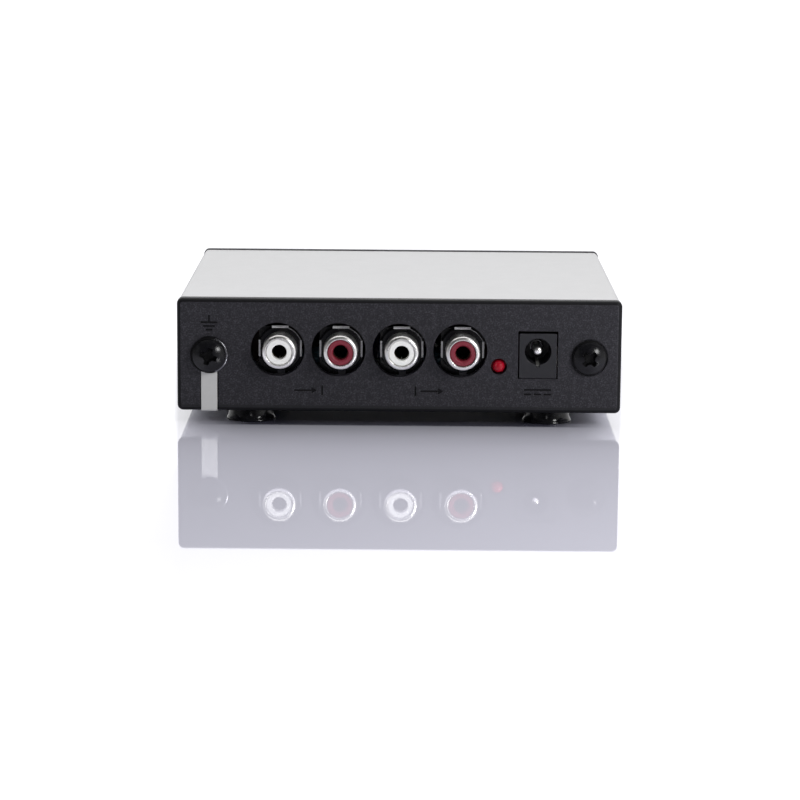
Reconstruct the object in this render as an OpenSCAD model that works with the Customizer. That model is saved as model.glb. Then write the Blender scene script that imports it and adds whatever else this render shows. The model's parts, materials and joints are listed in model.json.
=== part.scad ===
// Phono preamp: an extruded sleeve closed by two moulded end panels. The rear panel carries two
// pairs of phono sockets, a ground terminal, a power light and a low-voltage inlet.
// Behind it a circuit board slides in rails inside the sleeve.
// X runs right as seen from the rear panel, Y from the rear panel to the front, Z up from the floor.

/* [Case] */
// Width of the end panels
case_w = 107; // [100:1:140]
// Height of the end panels
panel_h = 27.4; // [26:0.1:34]
// Length over both end panels
case_l = 93; // [80:1:140]
// Thickness of an end panel
panel_t = 3; // [2.5:0.1:4]
// How far the end panels stand proud of the sleeve
panel_lip = 0.2; // [0.1:0.05:0.8]
// Radius of the end panels' corners
panel_corner_r = 1.4; // [1:0.1:2.2]
// Rounding along the end panels' outer edges
panel_edge_r = 0.8; // [0.3:0.1:1.2]
// Wall of the sleeve
sleeve_t = 1.6; // [1.2:0.1:2]
// Radius of the sleeve's long edges
sleeve_corner_r = 1.2; // [0.8:0.1:2]
// Depth that the end panels' rims reach into the sleeve
rim_l = 3; // [2:0.1:3.4]
// Thickness of the end panels' rims
rim_t = 1.4; // [1:0.1:1.6]

/* [Fixings] */
// Distance of the screws from the case's sides
screw_inset = 7.75; // [7.5:0.05:9]
// Diameter of the screws' shanks
shank_d = 3.9; // [3.4:0.1:4]
// Length of the screws under the head
screw_l = 12; // [8:0.5:20]
// Diameter of the screw heads
head_d = 7.7; // [7:0.1:8.2]
// Height of the screw heads
head_h = 2.4; // [2:0.1:2.8]
// Height of a head's straight side, below its dome
head_side = 0.8; // [0.4:0.1:1.2]
// Width across the cross recess, from tip to tip
recess_w = 4.4; // [3.6:0.1:5]
// Width of one arm of the cross recess
recess_arm = 1.15; // [0.8:0.05:1.3]
// Width of the recess's round middle
recess_core = 2.8; // [2:0.1:3.2]
// Depth of the cross recess
recess_deep = 1.6; // [1:0.1:1.8]
// Diameter of the washers
washer_d = 8.3; // [7.8:0.1:8.5]
// Thickness of the washers
washer_t = 0.8; // [0.5:0.1:1.2]
// Diameter of the sunk seat round each screw
seat_d = 9; // [8.6:0.1:9.6]
// Wall of the screw channels in the sleeve
channel_wall = 1.6; // [1.2:0.1:1.8]
// Width of the slot along each screw channel
channel_slot = 1.4; // [1:0.1:1.8]

/* [Ground strap] */
// Inner radius of the strap's bend
strap_bend_r = 0.2; // [0.1:0.05:0.5]
// Width of the ground strap
strap_w = 4; // [3:0.1:5]
// Play to the right of the strap in its groove
strap_play = 0.3; // [0.1:0.05:0.5]
// Thickness of the ground strap
strap_t = 0.5; // [0.3:0.05:0.6]
// Length of the strap's foot under the sleeve, behind the rear panel
strap_foot = 6; // [3:0.5:10]

/* [Phono sockets] */
// Place of the first socket across the case
socket_first_x = -28.7; // [-30:0.1:-28]
// Distance between sockets
socket_pitch = 14.65; // [13.8:0.05:14.8]
// Height of the sockets' axis above the board
socket_axis_h = 6.6; // [6.2:0.1:7]
// Diameter of the round openings in the rear panel
socket_hole_d = 13; // [12:0.1:13.4]
// How far those openings sit to one side of the sockets
socket_hole_shift = 0.55; // [0:0.05:0.8]
// Outside diameter of a socket's barrel
barrel_d = 8.3; // [8:0.1:8.6]
// How far a barrel stands out of the rear panel
barrel_reach = 4.5; // [3:0.1:8]
// Diameter of the socket insulators
insulator_d = 6.2; // [5.8:0.1:6.4]
// Bore of the centre contacts
contact_bore_d = 3.2; // [3:0.05:3.4]
// Wall of the centre contacts
contact_wall = 0.4; // [0.3:0.05:0.5]
// Across the flats of a socket's collar
collar_w = 10.2; // [9.2:0.1:10.4]
// Diameter of the collar over its rounded corners
collar_d = 11; // [10.6:0.1:11.2]
// Depth of the collar's face behind the panel's face
collar_set = 2; // [0.3:0.1:2.4]
// Bevel along the collar's flats
collar_bevel = 0.5; // [0.3:0.05:0.8]
// Width of a socket's block
block_w = 10.4; // [10:0.1:12]
// Length of a socket's block
block_l = 9.5; // [9:0.1:14]
// Width of the barrel's ground lug
lug_w = 1.8; // [1.2:0.1:2.4]

/* [Power inlet] */
// Place of the power inlet across the case
inlet_x = 33.4; // [33:0.1:35]
// Width of the inlet's body
inlet_w = 9; // [8.6:0.1:10]
// Height of the inlet's body
inlet_h = 10.9; // [10.4:0.1:12]
// Length of the inlet's body
inlet_l = 14; // [13:0.1:16]
// Height of the inlet's axis above the board
inlet_axis_h = 6.5; // [6:0.1:6.8]
// Bore that the plug's barrel enters
inlet_bore_d = 6.4; // [5.5:0.1:6.6]
// Depth of that bore
inlet_bore_deep = 9; // [8.5:0.1:10]
// Diameter of the inlet's centre pin
inlet_pin_d = 2.1; // [1.9:0.1:2.5]
// Depth of the pin's tip behind the inlet's face
inlet_pin_set = 1; // [0.4:0.1:2]
// Gap beside the inlet in the rear panel
inlet_gap = 0.3; // [0.2:0.05:0.5]
// Gap above the inlet in the rear panel
inlet_top_gap = 0.6; // [0.3:0.05:0.9]

/* [Power light] */
// Place of the power light across the case
light_x = 24; // [23.5:0.1:24.5]
// Height of the power light's axis above the board
light_axis_h = 2.85; // [2.6:0.05:3.4]
// Diameter of the power light's lens
light_d = 3; // [2.8:0.1:3.2]
// How far its dome stands out of the rear panel
light_reach = 0.6; // [0.2:0.1:1.5]

/* [Circuit board] */
// Thickness of the circuit board
board_t = 1.6; // [1:0.1:1.8]
// Height of the board's top above the panels' lower edge
board_h = 8.55; // [8.4:0.05:9]
// How far the rails reach in from the sleeve's walls
rail_w = 2; // [1.4:0.1:2.6]
// Thickness of a rail
rail_t = 1; // [0.6:0.1:1.1]
// How far leads stand out under the board
lead_tail = 1.5; // [0.8:0.1:2]
// Thickness of the parts' wire leads
wire_t = 0.6; // [0.4:0.05:0.7]

/* [Feet] */
// Height of the panels' lower edge above the floor
foot_h = 3.5; // [2.5:0.1:6]
// Diameter of a foot at the floor
foot_d = 12; // [9:0.1:14]
// Diameter of a foot where it meets the sleeve
foot_top_d = 10.2; // [8.6:0.1:12]
// Distance of the feet from the case's sides
foot_inset_x = 17.3; // [15:0.1:24]
// Distance of the feet from the end panels' faces
foot_inset_y = 9.7; // [9.2:0.1:16]
// Diameter of the stem that holds a foot
foot_stem_d = 4; // [3:0.1:4.4]

/* [Markings] */
// Width of the sunk lines
line_w = 0.45; // [0.3:0.05:0.6]
// Depth of the sunk lines
line_deep = 0.25; // [0.1:0.05:0.5]

/* [Clearances] */
// Gap round a screw's shank in its bore
shank_gap = 0.05; // [0.02:0.01:0.1]
// Gap between pieces that slide together once
fit_gap = 0.1; // [0.05:0.05:0.15]
// Gap between the circuit board and the end panels
board_gap = 0.3; // [0.2:0.1:0.5]
// Gap round a wire in its hole
hole_gap = 0.2; // [0.1:0.05:0.25]

/* [Hidden] */
$fn = 64;
eps = 0.01;

// Levels, from the floor up
panel_z0 = foot_h;
mid_z = panel_z0 + panel_h / 2;
sleeve_z0 = panel_z0 + panel_lip;
board_top = panel_z0 + board_h;
board_z0 = board_top - board_t;
tail_z = board_z0 - lead_tail;
socket_z = board_top + socket_axis_h;
inlet_z = board_top + inlet_axis_h;
light_z = board_top + light_axis_h;

// Places along the case: the whole part, barrels included, is centred on Y = 0
rear_y = (barrel_reach - case_l) / 2;
front_y = rear_y + case_l;
rear_in = rear_y + panel_t;
front_in = front_y - panel_t;
board_y0 = rear_in + board_gap;
board_y1 = front_in - board_gap;

// Sleeve
sleeve_w = case_w - 2 * panel_lip;
sleeve_h = panel_h - 2 * panel_lip;
inside_w = sleeve_w - 2 * sleeve_t;
inside_h = sleeve_h - 2 * sleeve_t;
inside_r = max(sleeve_corner_r - sleeve_t, 0.3);
screw_x = case_w / 2 - screw_inset;
channel_bore = shank_d / 2 + shank_gap;
channel_r = channel_bore + channel_wall;
board_w = inside_w - 2 * board_gap;
rim_gap = 2;
rim_w = 2 * (screw_x - channel_r - rim_gap);

// Fixings
case_screw_turn = 45;
ground_screw_turn = 17;
peg_l = 8;
shank_hole_gap = 0.2;
barb_h = 1.5;
barb_w = 0.5;
barb_taper = 0.2;
seat_deep = strap_t;
dome_h = head_h - head_side;
dome_r = (pow(head_d / 2, 2) + pow(dome_h, 2)) / (2 * dome_h);

// Sockets along the rear panel, from the left
SOCKETS = 4;
white = "white";
dark_red = "darkred";
socket_xs = [for (i = [0:SOCKETS - 1]) socket_first_x + i * socket_pitch];
barrel_lip = 0.3;
neck_step = 0.2;
neck_d = barrel_d - 2 * neck_step;
lug_t = 0.4;
lug_shift = 0.2;
lug_gap = 0.45;
lug_y = rear_in + lug_gap;
block_gap = 0.05;
block_y = lug_y + lug_t + block_gap;
block_back = block_y + block_l;
block_top_h = 5;
insulator_seat = 4.1;
insulator_back = block_y + insulator_seat;
insulator_floor = 0.6;
mouth_l = 2;
mouth_gap = 0.2;
mouth_d = contact_bore_d + 2 * mouth_gap;
contact_front = rear_y - barrel_reach + 2 * barrel_lip + mouth_l;
contact_d = contact_bore_d + 2 * contact_wall;
contact_slit = 0.4;
contact_slit_l = 5;
contact_floor = 0.8;
leg_d = 1.1;
leg_gap = 0.35;
leg_y = block_back + leg_gap + leg_d / 2;

// Inlet
inlet_set = 0.2;
inlet_face = rear_y + inlet_set;
inlet_back = inlet_face + inlet_l;
inlet_pin_tip = inlet_face + inlet_pin_set;
inlet_pin_foot = inlet_face + inlet_bore_deep;
inlet_ring_d = 3.2;
inlet_ring_h = 0.8;
inlet_spring_w = 0.8;
inlet_spring_t = 0.3;
inlet_spring_set = 2;
inlet_spring_y = inlet_face + inlet_spring_set;
inlet_spring_l = 6;
inlet_slot_deep = 0.45;
inlet_leg_l = 1;
inlet_terminal_t = 0.5;
inlet_terminal_w = 2.2;
inlet_break_set = 7;
inlet_break_y = inlet_face + inlet_break_set;
inlet_break_w = 2;

// Light
light_gap = 0.3;
light_hole_d = light_d + 2 * light_gap;
light_flange_w = 0.4;
light_flange_d = light_d + 2 * light_flange_w;
light_flange_t = 1;
light_l = 5.3;
light_tip = rear_y - light_reach;
light_back = light_tip + light_l;
light_lead_x = 1.27;
light_lead_reach = 1.6;
light_lead_y = light_back + light_lead_reach;

// Parts on the board: [x, y] of each part's middle. The channels' columns stand behind their pairs
// of sockets, the supply's parts behind the inlet, and the rows start at the back of the sockets.
left_column = (socket_xs[0] + socket_xs[1]) / 2;
right_column = (socket_xs[2] + socket_xs[3]) / 2;
bench_gap = 5;
bench_y = leg_y + bench_gap;
part_gap = 0.1;
grid = 2.54;
op_amp_w = 9.8;
op_amp_l = 6.4;
op_amp_h = 3.4;
op_amp_lift = 0.7;
op_amp_row = 7.62;
op_amp_place = 19.5;
op_amp_notch_r = 0.9;
op_amp_notch_deep = 0.4;
op_amp_left_at = [left_column, bench_y + op_amp_place];
op_amp_right_at = [right_column, bench_y + op_amp_place];
film_w = 7.2;
film_l = 3.5;
film_h = 7.5;
film_span = 5.08;
film_pitch = 9;
film_place = 3;
film_left_shift = 12.2;
film_right_shift = 16;
film_rows = [for (i = [0:2]) bench_y + film_place + film_pitch * i];
film_left_at = [for (y = film_rows) [left_column - film_left_shift, y]];
film_right_at = [for (y = film_rows) [right_column + film_right_shift, y]];
resistor_d = 2.4;
resistor_l = 6.3;
resistor_span = 10.16;
resistor_pitch = 3.2;
resistor_rows = [0, 1, 2, 3, 9];
resistor_at = [for (x = [left_column, right_column], row = resistor_rows)
  [x, bench_y + row * resistor_pitch]];
reservoir_d = 10;
reservoir_h = 13;
reservoir_place = 45;
reservoir_pitch = 13;
reservoir_shift = 3.1;
reservoir_at = [for (s = [-1, 1])
  [left_column - reservoir_shift + s * reservoir_pitch / 2, bench_y + reservoir_place]];
coupling_d = 6.3;
coupling_h = 11;
coupling_place = 10;
coupling_pitch = 11;
coupling_shift = 1.3;
coupling_at = [for (i = [0, 1]) [(left_column + right_column) / 2 + coupling_shift,
  bench_y + coupling_place + i * coupling_pitch]];
can_gap = 0.2;
vent_w = 0.4;
vent_deep = 0.2;
regulator_place = 43;
regulator_at = [right_column, bench_y + regulator_place];
regulator_w = 10.2;
regulator_l = 9.2;
regulator_h = 4.4;
regulator_tab_l = 6.4;
regulator_tab_t = 1.3;
regulator_hole_d = 3.6;
regulator_screw_d = 3;
regulator_head_d = 5.6;
regulator_head_h = 2;
regulator_nut_d = 6.35;
regulator_nut_h = 2.4;
regulator_lead_reach = 3;
choke_place = 46;
choke_shift = 1.4;
choke_at = [inlet_x - choke_shift, bench_y + choke_place];
choke_d = 8;
choke_h = 8;
choke_flange_t = 1.2;
choke_core_d = 4;
choke_rim = 0.5;
diode_place = 36;
diode_shift = 6.4;
diode_at = [inlet_x - diode_shift, bench_y + diode_place];
diode_d = 2.7;
diode_l = 5.2;

function across(p, span) = [[p.x - span / 2, p.y], [p.x + span / 2, p.y]];
function legs(p) = [for (i = [0:3], s = [-1, 1]) [p.x + (i - 1.5) * grid, p.y + s * op_amp_row / 2]];
function regulator_leads() = [for (i = [-1:1])
  [regulator_at.x + i * grid, regulator_at.y - regulator_l / 2 - regulator_lead_reach]];
function flat(lists) = [for (l = lists, p = l) p];

film_holes = flat([for (p = concat(film_left_at, film_right_at)) across(p, film_span)]);
resistor_holes = flat([for (p = resistor_at) across(p, resistor_span)]);
can_holes = concat(flat([for (p = reservoir_at) across(p, 2 * grid)]),
  flat([for (p = coupling_at) across(p, grid)]));
diode_holes = across(diode_at, resistor_span);
choke_holes = across(choke_at, 2 * grid);
light_holes = [for (s = [-1, 1]) [light_x + s * light_lead_x, light_lead_y]];
wire_holes = concat(film_holes, resistor_holes, can_holes, diode_holes, choke_holes, light_holes,
  legs(op_amp_left_at), legs(op_amp_right_at), regulator_leads());

// Signs on the rear panel
mark_rise = 5.2;
mark_z = panel_z0 + mark_rise;
earth_rise = 21.6;
earth_z = panel_z0 + earth_rise;
earth_w = 4.05;
earth_step = 0.6;
earth_pitch = 0.9;
stem_h = 1.8;
arrow_l = 5.6;
arrow_head = 1.4;
arrow_half = 0.84;
arrow_shift = 0.6;
post_shift = 3.4;
post_h = 2.4;
dc_w = 6.6;
dash_w = 1.8;
dash_rise = 0.55;

// Helpers
module slab_y(y0, y1) {
  translate([0, y1, 0]) rotate([90, 0, 0]) linear_extrude(y1 - y0) children();
}
module rod_y(d, y0, y1) {
  translate([0, y0, 0]) rotate([-90, 0, 0]) cylinder(d = d, h = y1 - y0);
}
module block(x0, x1, y0, y1, z0, z1) {
  translate([x0, y0, z0]) cube([x1 - x0, y1 - y0, z1 - z0]);
}
module rounded_rect(w, h, r) {
  square([w - 2 * r, h], center = true);
  square([w, h - 2 * r], center = true);
  for (x = [-1, 1], z = [-1, 1]) translate([x * (w / 2 - r), z * (h / 2 - r)]) circle(r);
}
// An outline of width w, from 0 to t, whose two corners at 0 are rounded
module round_fronted(w, t, r) {
  translate([-w / 2 + r, 0]) square([w - 2 * r, t]);
  translate([-w / 2, r]) square([w, t - r]);
  for (x = [-1, 1]) translate([x * (w / 2 - r), r]) circle(r);
}
// An outline of width w, from 0 to t, whose two corners at 0 are bevelled
module bevel_fronted(w, t, b) {
  polygon([[-w / 2 + b, 0], [w / 2 - b, 0], [w / 2, b], [w / 2, t], [-w / 2, t], [-w / 2, b]]);
}
// An end panel's plate from y = 0 inwards, with round corners and all four outer edges rounded
module end_plate() {
  intersection() {
    slab_y(0, panel_t) rounded_rect(case_w, panel_h, panel_corner_r);
    translate([0, 0, -panel_h]) linear_extrude(2 * panel_h)
      round_fronted(case_w, panel_t, panel_edge_r);
    rotate([90, 0, 90]) translate([0, 0, -case_w]) linear_extrude(2 * case_w)
      mirror([1, -1]) round_fronted(panel_h, panel_t, panel_edge_r);
  }
}
module wires(at, z1) {
  half = wire_t / 2;
  for (p = at) block(p.x - half, p.x + half, p.y - half, p.y + half, tail_z, z1);
}
// Two wires that leave a lying part's ends and turn down into the board
module hoop_wires(p, body_l, span, axis_h) {
  half = wire_t / 2;
  reach = (span - body_l) / 2;
  wires(across(p, span), board_top + axis_h + half);
  for (s = [-1, 1]) translate([p.x + s * (span - reach) / 2, p.y, board_top + axis_h])
    cube([reach, wire_t, wire_t], center = true);
}

// Case
module sleeve_outline() {
  difference() {
    rounded_rect(sleeve_w, sleeve_h, sleeve_corner_r);
    rounded_rect(inside_w, inside_h, inside_r);
  }
  rail_z = board_z0 - mid_z;
  for (s = [-1, 1]) {
    for (z = [rail_z - fit_gap - rail_t, rail_z + board_t + fit_gap])
      translate([s * (inside_w / 2 - rail_w / 2 + eps), z + rail_t / 2])
        square([rail_w + 2 * eps, rail_t], center = true);
    difference() {
      union() {
        translate([s * screw_x, 0]) circle(channel_r);
        translate([s * (screw_x + inside_w / 2 + eps) / 2, 0])
          square([inside_w / 2 + eps - screw_x, channel_wall], center = true);
      }
      translate([s * screw_x, 0]) circle(channel_bore);
      translate([s * (screw_x - channel_r), 0]) square([2 * channel_r, channel_slot], center = true);
    }
  }
}
module sleeve() {
  color("lightgray") difference() {
    translate([0, 0, mid_z]) slab_y(rear_in, front_in) sleeve_outline();
    for (x = [-1, 1], y = [rear_y + foot_inset_y, front_y - foot_inset_y])
      translate([x * (case_w / 2 - foot_inset_x), y, sleeve_z0 - 1])
        cylinder(d = foot_stem_d + 2 * fit_gap, h = sleeve_t + 2);
  }
}
// The rims that locate an end panel inside the sleeve, from its inner face
module rims(y0, y1) {
  for (s = [-1, 1]) translate([0, 0, mid_z + s * (inside_h / 2 - fit_gap - rim_t / 2)])
    slab_y(y0, y1) square([rim_w, rim_t], center = true);
}
module rear_panel() {
  color([0.13, 0.13, 0.14]) difference() {
    union() {
      translate([0, rear_y, mid_z]) end_plate();
      rims(rear_in - eps, rear_in + rim_l);
    }
    for (x = socket_xs) translate([x - socket_hole_shift, 0, socket_z])
      rod_y(socket_hole_d, rear_y - 1, rear_in + 1);
    translate([light_x, 0, light_z]) rod_y(light_hole_d, rear_y - 1, rear_in + 1);
    block(inlet_x - inlet_w / 2 - inlet_gap, inlet_x + inlet_w / 2 + inlet_gap, rear_y - 1, rear_in + 1,
      board_top - fit_gap, board_top + inlet_h + inlet_top_gap);
    for (s = [-1, 1]) translate([s * screw_x, 0, mid_z]) {
      rod_y(shank_d + 2 * shank_hole_gap, rear_y - 1, rear_in + 1);
      rod_y(seat_d, rear_y - 1, rear_y + seat_deep);
    }
    strap_channel();
    markings();
  }
}
// The groove that the ground strap lies in, down the panel's face and across its lower edge
module strap_channel() {
  x0 = -screw_x - strap_w / 2 - fit_gap;
  x1 = -screw_x + strap_w / 2 + strap_play;
  block(x0, x1, rear_y - 1, rear_y + strap_t, panel_z0 - 1, mid_z);
  block(x0, x1, rear_y - 1, rear_in + 1, panel_z0 - 1, sleeve_z0);
  block(x0, x1, rear_y - 1, rear_y + strap_t + strap_bend_r, panel_z0 - 1,
    sleeve_z0 + strap_bend_r);
}
module bar(x, z, w, h) {
  block(x - w / 2, x + w / 2, rear_y - 1, rear_y + line_deep, z - h / 2, z + h / 2);
}
// An arrow of length w that points to +X, its middle at x
module arrow(x, z, w) {
  bar(x - arrow_head / 2, z, w - arrow_head, line_w);
  translate([x + w / 2, 0, z]) slab_y(rear_y - 1, rear_y + line_deep)
    polygon([[0, 0], [-arrow_head, arrow_half], [-arrow_head, -arrow_half]]);
}
module markings() {
  // Ground symbol above the terminal: a stem over three shortening bars
  bar(-screw_x, earth_z + stem_h / 2, line_w, stem_h);
  for (i = [0:2]) bar(-screw_x, earth_z - earth_pitch * i, earth_w - 2 * earth_step * i, line_w);
  // Arrow into a post under the inputs, and out of one under the outputs
  for (s = [-1, 1]) {
    x = (s < 0 ? left_column : right_column) - socket_hole_shift;
    arrow(x + s * arrow_shift, mark_z, arrow_l);
    bar(x - s * post_shift, mark_z, line_w, post_h);
  }
  // Direct-current symbol under the inlet: a whole bar over a broken one
  bar(inlet_x, mark_z + dash_rise, dc_w, line_w);
  for (i = [-1:1]) bar(inlet_x + (dc_w - dash_w) / 2 * i, mark_z - dash_rise, dash_w, line_w);
}
module front_panel() {
  color([0.13, 0.13, 0.14]) {
    translate([0, front_y, mid_z]) rotate(180) end_plate();
    rims(front_in - rim_l, front_in + eps);
    for (s = [-1, 1]) translate([s * screw_x, 0, mid_z]) rod_y(shank_d, front_in - peg_l, front_in + eps);
  }
}

// Fixings
// A domed, cross-recessed screw along Y, its head's underside at y, its recess turned
module domed_screw(x, y, turn) {
  color([0.1, 0.1, 0.1]) translate([x, 0, mid_z]) {
    difference() {
      intersection() {
        rod_y(head_d, y - head_h, y);
        translate([0, y - head_h + dome_r, 0]) sphere(dome_r, $fn = 96);
      }
      rod_y(recess_core, y - head_h - 1, y - head_h + recess_deep);
      rotate([0, turn, 0]) for (a = [0, 90]) rotate([0, a, 0])
        block(-recess_w / 2, recess_w / 2, y - head_h - 1, y - head_h + recess_deep,
          -recess_arm / 2, recess_arm / 2);
    }
    rod_y(shank_d, y - eps, y + screw_l);
  }
}
module washer(x, y) {
  color([0.12, 0.12, 0.12]) translate([x, 0, mid_z]) difference() {
    rod_y(washer_d, y - washer_t, y);
    rod_y(shank_d + 2 * shank_gap, y - washer_t - 1, y + 1);
  }
}
module case_screw() {
  domed_screw(screw_x, rear_y + seat_deep - washer_t, case_screw_turn);
}
module case_washer() {
  washer(screw_x, rear_y + seat_deep);
}
module ground_screw() {
  domed_screw(-screw_x, rear_y - washer_t, ground_screw_turn);
}
module ground_washer() {
  washer(-screw_x, rear_y);
}
// The strap runs from an eye round the ground screw down the panel and under the sleeve
module ground_strap() {
  bend = strap_t + strap_bend_r;
  low = sleeve_z0 - strap_t;
  color("silver") {
    difference() {
      union() {
        translate([-screw_x, 0, mid_z]) rod_y(washer_d - 2 * fit_gap, rear_y, rear_y + strap_t);
        block(-screw_x - strap_w / 2, -screw_x + strap_w / 2, rear_y, rear_y + strap_t,
          low + bend, mid_z);
      }
      translate([-screw_x, 0, mid_z]) rod_y(shank_d + 2 * shank_hole_gap, rear_y - 1, rear_y + 1);
    }
    translate([-screw_x, rear_y + bend, low + bend]) rotate([90, 0, 90])
      translate([0, 0, -strap_w / 2]) linear_extrude(strap_w) difference() {
        intersection() {
          circle(bend);
          translate([-bend, -bend]) square(bend);
        }
        circle(bend - strap_t);
      }
    block(-screw_x - strap_w / 2, -screw_x + strap_w / 2, rear_y + bend, rear_in + strap_foot,
      low, sleeve_z0);
  }
}
// A foot's stem passes through the sleeve's floor and its barb holds it there
module foot(x, y) {
  barb_z = sleeve_z0 + sleeve_t + fit_gap;
  color([0.08, 0.08, 0.08]) translate([x * (case_w / 2 - foot_inset_x), y, 0]) {
    cylinder(d1 = foot_d, d2 = foot_top_d, h = sleeve_z0);
    cylinder(d = foot_stem_d, h = barb_z);
    translate([0, 0, barb_z])
      cylinder(d1 = foot_stem_d + 2 * barb_w, d2 = foot_stem_d - 2 * barb_taper, h = barb_h);
  }
}
module foot_rear_left() {
  foot(-1, rear_y + foot_inset_y);
}
module foot_rear_right() {
  foot(1, rear_y + foot_inset_y);
}
module foot_front_left() {
  foot(-1, front_y - foot_inset_y);
}
module foot_front_right() {
  foot(1, front_y - foot_inset_y);
}

// Phono sockets
module socket_block(i) {
  color([0.06, 0.06, 0.06]) translate([socket_xs[i], 0, socket_z]) difference() {
    union() {
      intersection() {
        rod_y(collar_d, rear_y + collar_set, block_y + eps);
        translate([0, rear_y + collar_set, -collar_d]) linear_extrude(2 * collar_d)
          bevel_fronted(collar_w, block_y - rear_y, collar_bevel);
        translate([0, rear_y + collar_set, 0]) rotate([0, 90, 0])
          translate([0, 0, -collar_d]) linear_extrude(2 * collar_d)
            bevel_fronted(collar_w, block_y - rear_y, collar_bevel);
      }
      block(-block_w / 2, block_w / 2, block_y, block_back, -socket_axis_h, block_top_h);
    }
    rod_y(neck_d + 2 * fit_gap, rear_y, block_y);
    rod_y(insulator_d + 2 * fit_gap, block_y - 1, insulator_back + fit_gap);
    rod_y(leg_d + 2 * fit_gap, insulator_back - 1, block_back + 1);
    block(lug_shift - lug_w / 2 - fit_gap, lug_shift + lug_w / 2 + fit_gap, lug_y - fit_gap, block_y,
      -collar_d, 0);
  }
}
module socket_barrel(i) {
  front = rear_y - barrel_reach;
  color("silver") translate([socket_xs[i], 0, socket_z]) difference() {
    union() {
      translate([0, front, 0]) rotate([-90, 0, 0])
        cylinder(d1 = barrel_d - 2 * barrel_lip, d2 = barrel_d, h = barrel_lip);
      rod_y(barrel_d, front + barrel_lip, rear_y + collar_set);
      rod_y(neck_d, rear_y + collar_set - eps, lug_y + lug_t);
      block(lug_shift - lug_w / 2, lug_shift + lug_w / 2, lug_y, lug_y + lug_t, tail_z - socket_z, 0);
    }
    rod_y(insulator_d + fit_gap, front - 1, lug_y + lug_t + 1);
  }
}
module socket_insulator(i, tint) {
  front = rear_y - barrel_reach + barrel_lip;
  color(tint) translate([socket_xs[i], 0, socket_z]) difference() {
    rod_y(insulator_d, front, insulator_back);
    rod_y(mouth_d, front - 1, contact_front);
    rod_y(contact_d + fit_gap, contact_front - eps, insulator_back - insulator_floor);
    rod_y(leg_d + fit_gap, contact_front, insulator_back + 1);
  }
}
module socket_contact(i) {
  back = insulator_back - insulator_floor - fit_gap;
  color("gold") translate([socket_xs[i], 0, socket_z]) {
    difference() {
      rod_y(contact_d, contact_front + fit_gap, back);
      rod_y(contact_bore_d, contact_front - 1, back - contact_floor);
      for (a = [0, 90]) rotate([0, a, 0])
        block(-contact_d, contact_d, contact_front - 1, contact_front + contact_slit_l,
          -contact_slit / 2, contact_slit / 2);
    }
    rod_y(leg_d, back - eps, leg_y + leg_d / 2);
    translate([0, leg_y, tail_z - socket_z]) cylinder(d = leg_d - 0.1, h = socket_z - tail_z);
  }
}
module input_left_block() { socket_block(0); }
module input_left_barrel() { socket_barrel(0); }
module input_left_insulator() { socket_insulator(0, white); }
module input_left_contact() { socket_contact(0); }
module input_right_block() { socket_block(1); }
module input_right_barrel() { socket_barrel(1); }
module input_right_insulator() { socket_insulator(1, dark_red); }
module input_right_contact() { socket_contact(1); }
module output_left_block() { socket_block(2); }
module output_left_barrel() { socket_barrel(2); }
module output_left_insulator() { socket_insulator(2, white); }
module output_left_contact() { socket_contact(2); }
module output_right_block() { socket_block(3); }
module output_right_barrel() { socket_barrel(3); }
module output_right_insulator() { socket_insulator(3, dark_red); }
module output_right_contact() { socket_contact(3); }

// Power inlet
module inlet_body() {
  slot = inlet_spring_w / 2 + fit_gap;
  spring_end = inlet_spring_y + inlet_spring_l + fit_gap;
  color([0.05, 0.05, 0.05]) difference() {
    block(inlet_x - inlet_w / 2, inlet_x + inlet_w / 2, inlet_face, inlet_back,
      board_top, board_top + inlet_h);
    translate([inlet_x, 0, inlet_z]) {
      rod_y(inlet_bore_d, inlet_face - 1, inlet_pin_foot);
      rod_y(inlet_pin_d + 2 * fit_gap, inlet_pin_foot - 1, inlet_back + 1);
      block(-slot, slot, inlet_face - 1, spring_end, -inlet_bore_d / 2 - inlet_slot_deep, 0);
      block(-slot, slot, spring_end - inlet_leg_l - 2 * fit_gap, spring_end, -inlet_axis_h - 1, 0);
    }
  }
}
// The centre pin has a round tip, a ring at the bottom of the bore and a terminal behind the body
module inlet_pin() {
  color("silver") translate([inlet_x, 0, inlet_z]) {
    translate([0, inlet_pin_tip + inlet_pin_d / 2, 0]) sphere(d = inlet_pin_d);
    rod_y(inlet_pin_d, inlet_pin_tip + inlet_pin_d / 2, inlet_back + inlet_terminal_t + fit_gap);
    rod_y(inlet_ring_d, inlet_pin_foot - inlet_ring_h - fit_gap, inlet_pin_foot - fit_gap);
    block(-inlet_terminal_w / 2, inlet_terminal_w / 2, inlet_back + fit_gap,
      inlet_back + inlet_terminal_t + fit_gap, tail_z - inlet_z, inlet_pin_d / 2);
  }
}
// The spring lies in the slot along the bore, where it meets the plug's barrel
module inlet_spring() {
  half = inlet_spring_w / 2;
  end = inlet_spring_y + inlet_spring_l;
  low = -inlet_bore_d / 2 - inlet_slot_deep + fit_gap;
  color("silver") translate([inlet_x, 0, inlet_z]) {
    block(-half, half, inlet_spring_y, end, low, low + inlet_spring_t);
    block(-half, half, end - inlet_leg_l, end, tail_z - inlet_z, low + eps);
  }
}
module inlet_break_contact() {
  side = inlet_x + inlet_w / 2;
  color("silver") {
    block(side, side + inlet_terminal_t, inlet_break_y, inlet_break_y + inlet_break_w,
      tail_z, inlet_z);
  }
}

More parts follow.
